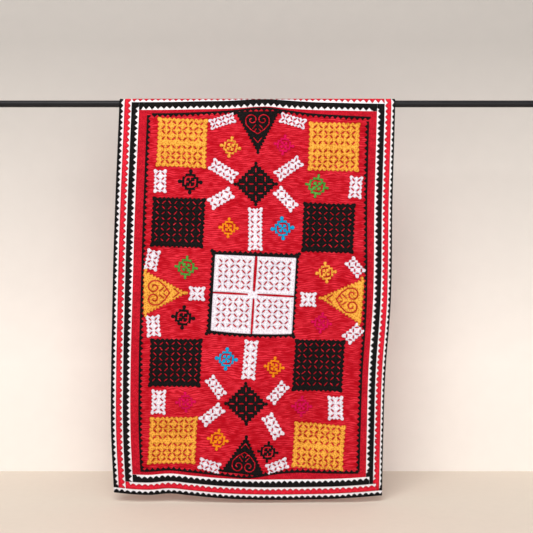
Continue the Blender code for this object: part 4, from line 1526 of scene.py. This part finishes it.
def on_picture(picture_x, picture_y, turn):
    """Place function of a small patch, given where its middle is in the picture."""
    angle = math.radians(turn)
    sideways = np.array((math.cos(angle), math.sin(angle)))
    downwards = np.array((-sideways[1], sideways[0]))
    x = PICTURE_X0 + METRES_PER_PIXEL * picture_x
    w = PICTURE_DROP0 + METRES_PER_PIXEL * picture_y + QUARTER_WRAP

    def place(points):
        return (np.array((x, w)) + points[:, :1] * sideways + points[:, 1:] * downwards).T
    return place


def make_white_patches():
    for n, patch in enumerate(WHITE_PATCHES):
        length, width = patch.length - 0.009, patch.width - 0.004
        body = scalloped_box(length, width, 0.0172, 0.0062, 1.3, 0.0078, (-0.0010, -0.0034),
                             501 + 9 * n)
        columns = even(patch.columns, length * (1 - 1.15 / patch.columns))
        slits = slit_checker(columns, (-0.23 * width, 0.23 * width), 0.0200, 0.0072,
                             patch.first, 601 + n)
        half = np.array((length, width)) / 2 + 0.016
        cut_piece(f"white_patch_{n + 1:02d}", COTTONS["white_cloth"], with_slits(body, slits),
                  -half, half, on_picture(patch.picture_x, patch.picture_y, patch.turn), [],
                  "white_cloth", cell=0.0012, step=0.0042)


make_white_patches()

# %% [markdown]
# Sixteen bright stars. One is a thin ring of four bars, with a knob on a stem outside each bar
# and a four-petalled flower inside. Two C-shaped slits, each with two notches towards the middle,
# cut the flower out. It holds to its ring at two opposite corners. The lengths below are shares
# of the way from the middle to a knob, and that way is each star's reach, in pixels.

# %% Stars
Star = namedtuple("Star", "picture_x picture_y turn mirrored cotton reach knob")
STARS = (
    Star(230.6, 147.2, 10, False, "yellow_cloth", 9.2, 1.75),
    Star(283.9, 145.2, 8, True, "magenta", 9.0, 1.6),
    Star(190.3, 181.9, 3, False, "black_cloth", 10.6, 1.95),
    Star(317.0, 186.0, 10, False, "green", 10.9, 1.4),
    Star(228.6, 227.9, 4, True, "orange", 8.8, 1.6),
    Star(282.5, 228.4, -4, True, "blue", 10.1, 2.05),
    Star(186.2, 267.4, 6, True, "green", 10.6, 1.35),
    Star(326.2, 272.6, -5, False, "yellow_cloth", 9.3, 1.75),
    Star(183.2, 317.4, 6, False, "black_cloth", 10.4, 1.9),
    Star(321.6, 323.1, 8, True, "magenta", 9.3, 1.6),
    Star(226.5, 358.8, 5, False, "blue", 9.8, 1.95),
    Star(274.2, 366.9, 6, True, "orange", 9.1, 1.6),
    Star(185.7, 402.0, -3, True, "magenta", 9.1, 1.6),
    Star(301.7, 406.6, 3, False, "magenta", 9.3, 1.6),
    Star(217.9, 439.3, 8, False, "orange", 9.6, 1.6),
    Star(267.8, 451.6, 6, False, "black_cloth", 9.5, 1.4),
)
PIXEL = METRES_PER_PIXEL
STAR_BAR, STAR_BAR_END, STAR_BAR_WIDTH = 0.668, 0.400, 0.185
STAR_RING = 0.690
RING_ROUNDNESS = 2.3
STEM_WIDTH = 0.230
ARC_RADIUS, ARC_WIDTH, ARC_ROUNDNESS = 0.478, 0.158, 3.4
ARC_START, ARC_END = -25.0, 115.0
NOTCH_END, NOTCH_WIDTH = 0.185, 0.115


def super_radius(points, roundness):
    """Radius that is the same all round a circle at roundness 2, and round a square far above."""
    return (np.abs(points) ** roundness).sum(axis=1) ** (1 / roundness)


def star_shape(mirrored, reach, knob):
    angles = np.radians(np.linspace(ARC_START, ARC_END, 14))
    ways = np.stack([np.cos(angles), np.sin(angles)], -1)
    arc = ARC_RADIUS * ways / super_radius(ways, ARC_ROUNDNESS)[:, None]

    def shape(places):
        points = places / reach
        folded = np.sort(np.abs(points), axis=1)[:, ::-1]
        body = super_radius(points, RING_ROUNDNESS) - STAR_RING
        body = np.minimum(body, slit(folded, (STAR_BAR, 0.0), (STAR_BAR, STAR_BAR_END),
                                     STAR_BAR_WIDTH, 0.0))
        body = np.minimum(body, disc(folded, (1.0, 0.0), knob / reach))
        body = np.minimum(body, slit(folded, (STAR_RING, 0.0), (1.0, 0.0), STEM_WIDTH, 0.0))
        spots = points * (-1.0, 1.0) if mirrored else points
        cuts = np.full(len(points), 1.0)
        for half_turn in (1.0, -1.0):
            turned_spots = spots * half_turn
            for start, end in zip(arc[:-1], arc[1:]):
                cuts = np.minimum(cuts, slit(turned_spots, start, end, ARC_WIDTH, 0.0))
            for way in ((1.0, 0.0), (0.0, 1.0)):
                notch = slit(turned_spots, np.multiply(way, NOTCH_END),
                             np.multiply(way, ARC_RADIUS), NOTCH_WIDTH, 0.0)
                cuts = np.minimum(cuts, notch)
        return np.maximum(body, -cuts) * reach
    return shape


def make_stars():
    slots = ("yellow_cloth", "black_cloth")
    for n, star in enumerate(STARS):
        slot = star.cotton if star.cotton in slots else None
        reach, knob = star.reach * PIXEL, star.knob * PIXEL
        far = reach + knob + 0.002
        cut_piece(f"star_{n + 1:02d}", COTTONS[star.cotton],
                  star_shape(star.mirrored, reach, knob), (-far, -far), (far, far),
                  on_picture(star.picture_x, star.picture_y, star.turn), [], slot,
                  cell=0.0011, step=0.0038, soft=0.0025)


make_stars()

# %% [markdown]
# Hand stitches hold the strips and patches down. Geometry Nodes sew them. The script only draws
# the lines that the thread follows, a little inside each edge, with the way out of the cloth
# kept at every point. The tree spreads stitches along a line at a pitch, lays each one along it,
# and makes it a little longer or shorter than its neighbours. Its sizes are named inputs.

# %% The stitch tree
STITCH_INPUTS = ("Stitch Pitch", "Stitch Length", "Stitch Width", "Stitch Height", "Unevenness")


def stitch_tree():
    tree = bpy.data.node_groups.new("running_stitches", "GeometryNodeTree")
    socket = tree.interface.new_socket
    socket("Geometry", in_out="OUTPUT", socket_type="NodeSocketGeometry")
    socket("Geometry", in_out="INPUT", socket_type="NodeSocketGeometry")
    for name in STITCH_INPUTS:
        socket(name, in_out="INPUT", socket_type="NodeSocketFloat")
    socket("Seed", in_out="INPUT", socket_type="NodeSocketInt")
    socket("Thread", in_out="INPUT", socket_type="NodeSocketMaterial")
    link = tree.links.new
    given = add_node(tree, "NodeGroupInput", (-8, 0))
    result = add_node(tree, "NodeGroupOutput", (6, 0))

    line = add_node(tree, "GeometryNodeMeshToCurve", (-6, 0))
    spaced = add_node(tree, "GeometryNodeResampleCurve", (-4, 0), mode="LENGTH")
    link(given.outputs["Geometry"], line.inputs["Mesh"])
    link(line.outputs["Curve"], spaced.inputs["Curve"])
    link(given.outputs["Stitch Pitch"], spaced.inputs["Length"])

    bead = add_node(tree, "GeometryNodeMeshUVSphere", (-4, 2),
                    inputs={"Segments": 4, "Rings": 3, "Radius": 0.5})
    size = add_node(tree, "ShaderNodeCombineXYZ", (-4, 3))
    stitch = add_node(tree, "GeometryNodeTransform", (-2, 2))
    for axis, name in zip("XYZ", ("Stitch Length", "Stitch Width", "Stitch Height")):
        link(given.outputs[name], size.inputs[axis])
    link(bead.outputs["Mesh"], stitch.inputs["Geometry"])
    link(size.outputs[0], stitch.inputs["Scale"])

    outward = add_node(tree, "GeometryNodeInputNamedAttribute", (-6, -2),
                       data_type="FLOAT_VECTOR", inputs={"Name": "outward"})
    along = add_node(tree, "GeometryNodeInputTangent", (-4, -3))
    upright = add_node(tree, "FunctionNodeAlignRotationToVector", (-4, -2), axis="Z")
    lying = add_node(tree, "FunctionNodeAlignRotationToVector", (-2, -2), axis="X",
                     pivot_axis="Z")
    link(outward.outputs["Attribute"], upright.inputs["Vector"])
    link(upright.outputs["Rotation"], lying.inputs["Rotation"])
    link(along.outputs["Tangent"], lying.inputs["Vector"])

    least = add_node(tree, "ShaderNodeMath", (-6, -4), operation="SUBTRACT", inputs={0: 1.0})
    most = add_node(tree, "ShaderNodeMath", (-6, -5), operation="ADD", inputs={0: 1.0})
    uneven = add_node(tree, "FunctionNodeRandomValue", (-4, -4), data_type="FLOAT")
    link(given.outputs["Unevenness"], least.inputs[1])
    link(given.outputs["Unevenness"], most.inputs[1])
    link(least.outputs[0], uneven.inputs[2])
    link(most.outputs[0], uneven.inputs[3])
    link(given.outputs["Seed"], uneven.inputs["Seed"])

    sewn = add_node(tree, "GeometryNodeInstanceOnPoints", (0, 0))
    link(spaced.outputs["Curve"], sewn.inputs["Points"])
    link(stitch.outputs["Geometry"], sewn.inputs["Instance"])
    link(lying.outputs["Rotation"], sewn.inputs["Rotation"])
    link(uneven.outputs[1], sewn.inputs["Scale"])
    real = add_node(tree, "GeometryNodeRealizeInstances", (2, 0))
    finish = add_node(tree, "GeometryNodeSetMaterial", (4, 0))
    link(sewn.outputs["Instances"], real.inputs["Geometry"])
    link(real.outputs["Geometry"], finish.inputs["Geometry"])
    link(given.outputs["Thread"], finish.inputs["Material"])
    link(finish.outputs["Geometry"], result.inputs["Geometry"])
    return tree


STITCHES = stitch_tree()

# %% Thread
def thread(name, colour):
    """Twisted cotton thread: an uneven tone, and a fine bump for its strands."""
    finish, tree, shader = new_finish(name)
    place = add_node(tree, "ShaderNodeTexCoord", (-5, 0))
    fuzz = add_node(tree, "ShaderNodeTexNoise", (-4, 0), inputs={"Scale": 600.0, "Detail": 2.0})
    tree.links.new(place.outputs["Object"], fuzz.inputs["Vector"])
    ramp = add_node(tree, "ShaderNodeValToRGB", (-2, 0))
    ramp.color_ramp.elements[0].color = (*[0.6 * part for part in colour], 1.0)
    ramp.color_ramp.elements[1].color = (*colour, 1.0)
    tree.links.new(fuzz.outputs["Fac"], ramp.inputs["Fac"])
    tree.links.new(ramp.outputs["Color"], shader.inputs["Base Color"])
    bump = add_node(tree, "ShaderNodeBump", (-2, 2), inputs={"Strength": 0.4,
                                                            "Distance": 0.0003})
    tree.links.new(fuzz.outputs["Fac"], bump.inputs["Height"])
    tree.links.new(bump.outputs["Normal"], shader.inputs["Normal"])
    shader.inputs["Roughness"].default_value = 0.8
    shader.inputs["Specular IOR Level"].default_value = 0.15
    return finish


# %% Lines to sew along
LINE_STEP = 0.012
LIFT = 0.0002


def thread_line(place, start, end, height):
    """Points of a line between two flat points of a piece, and the way out of the cloth."""
    start, end = np.asarray(start, float), np.asarray(end, float)
    count = max(2, int(math.dist(start, end) / LINE_STEP))
    flat = start + np.linspace(0.0, 1.0, count)[:, None] * (end - start)
    x, w = place(flat)
    points = hang(x, w, np.full(count, height))
    outward = hang(x, w, np.full(count, height + 0.001)) - points
    return points, outward / np.linalg.norm(outward, axis=1)[:, None]


def sew_along(name, finish, slot, lines, sizes, seed):
    """One piece of stitches along many lines. sizes are those of the tree's first inputs."""
    points = np.concatenate([line[0] for line in lines])
    outward = np.concatenate([line[1] for line in lines])
    edges, first = [], 0
    for line in lines:
        edges += [(first + n, first + n + 1) for n in range(len(line[0]) - 1)]
        first += len(line[0])
    mesh = bpy.data.meshes.new(f"{name}_lines")
    mesh.from_pydata(points.tolist(), edges, [])
    layer = mesh.attributes.new("outward", "FLOAT_VECTOR", "POINT")
    layer.data.foreach_set("vector", np.ascontiguousarray(outward, dtype=np.float32).ravel())
    piece = bpy.data.objects.new(name, mesh)
    bpy.context.collection.objects.link(piece)
    modifier = piece.modifiers.new("stitches", "NODES")
    modifier.node_group = STITCHES
    values = dict(zip(STITCH_INPUTS, sizes))
    values.update({"Seed": seed, "Thread": finish})
    for item in STITCHES.interface.items_tree:
        if item.item_type == "SOCKET" and item.in_out == "INPUT" and item.name in values:
            modifier[item.identifier] = values[item.name]
    evaluated = piece.evaluated_get(bpy.context.evaluated_depsgraph_get())
    sewn = bpy.data.meshes.new_from_object(evaluated)
    sewn.name = name
    piece.modifiers.clear()
    piece.data = sewn
    bpy.data.meshes.remove(mesh)
    finish_piece(piece, [], slot)
    return piece


# %% Sew the strips and patches down
RUNNING = (0.0100, 0.0055, 0.0013, 0.0012, 0.25)
SEAM_INSET = 0.0040
STRIP_SEAM_HEIGHT = PATCH_LOW + PATCH_RISE * (1 - math.exp(-SEAM_INSET / 0.0035)) + LIFT


def round_strip(inset, red=0.0):
    """Lines along the four sides of the border at one inset."""
    levels = inset + 0.012, CLOTH_WIDTH - inset - 0.012
    lines = [thread_line(along_end(side, red), (levels[0], inset), (levels[1], inset),
                         STRIP_SEAM_HEIGHT) for side in ("top", "bottom")]
    for side in ("left", "right"):
        ends = (upright_end("top", side, inset + 0.012)(np.array([inset]))[0],
                upright_end("bottom", side, inset + 0.012)(np.array([inset]))[0])
        lines.append(thread_line(along_side(side, red), (ends[0], inset), (ends[1], inset),
                                 STRIP_SEAM_HEIGHT))
    return lines


def round_patch(patch, inset):
    """Lines just inside the four edges of a square patch."""
    place = on_square(patch)
    u, v = patch.width / 2 - inset, patch.height / 2 - inset
    corners = [(-u, -v), (u, -v), (u, v), (-u, v)]
    return [thread_line(place, corners[n], corners[(n + 1) % 4], PATCH_LOW + PATCH_RISE + LIFT)
            for n in range(4)]


black_lines = round_strip(STRIPS[0].inset + SEAM_INSET) + round_strip(STRIPS[2].inset + SEAM_INSET)
red_lines = round_strip(STRIPS[1].inset + SEAM_INSET)
yellow_lines = []
for square in SQUARES:
    lines = round_patch(square, 0.011)
    if square.cloth == "yellow_cloth":
        yellow_lines += lines
    else:
        black_lines += lines
sew_along("stitches_black", thread("black_thread", (0.012, 0.011, 0.012)), None, black_lines,
          RUNNING, 701)
sew_along("stitches_red", thread("red_thread", (0.740, 0.020, 0.042)), None, red_lines,
          RUNNING, 702)
sew_along("stitches_yellow", thread("yellow_thread", (0.900, 0.420, 0.060)), None, yellow_lines,
          RUNNING, 703)

# %% [markdown]
# Last, every piece rides on the one body, and the nodes of the imported model that it stands
# for and replaces are hidden.

for piece, nodes, slot in pieces:
    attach(piece, "root")
    if nodes:
        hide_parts(*nodes)
triangles = sum(len(face.vertices) - 2 for piece, _, _ in pieces for face in piece.data.polygons)
print(len(pieces), "pieces with", triangles, "triangles")
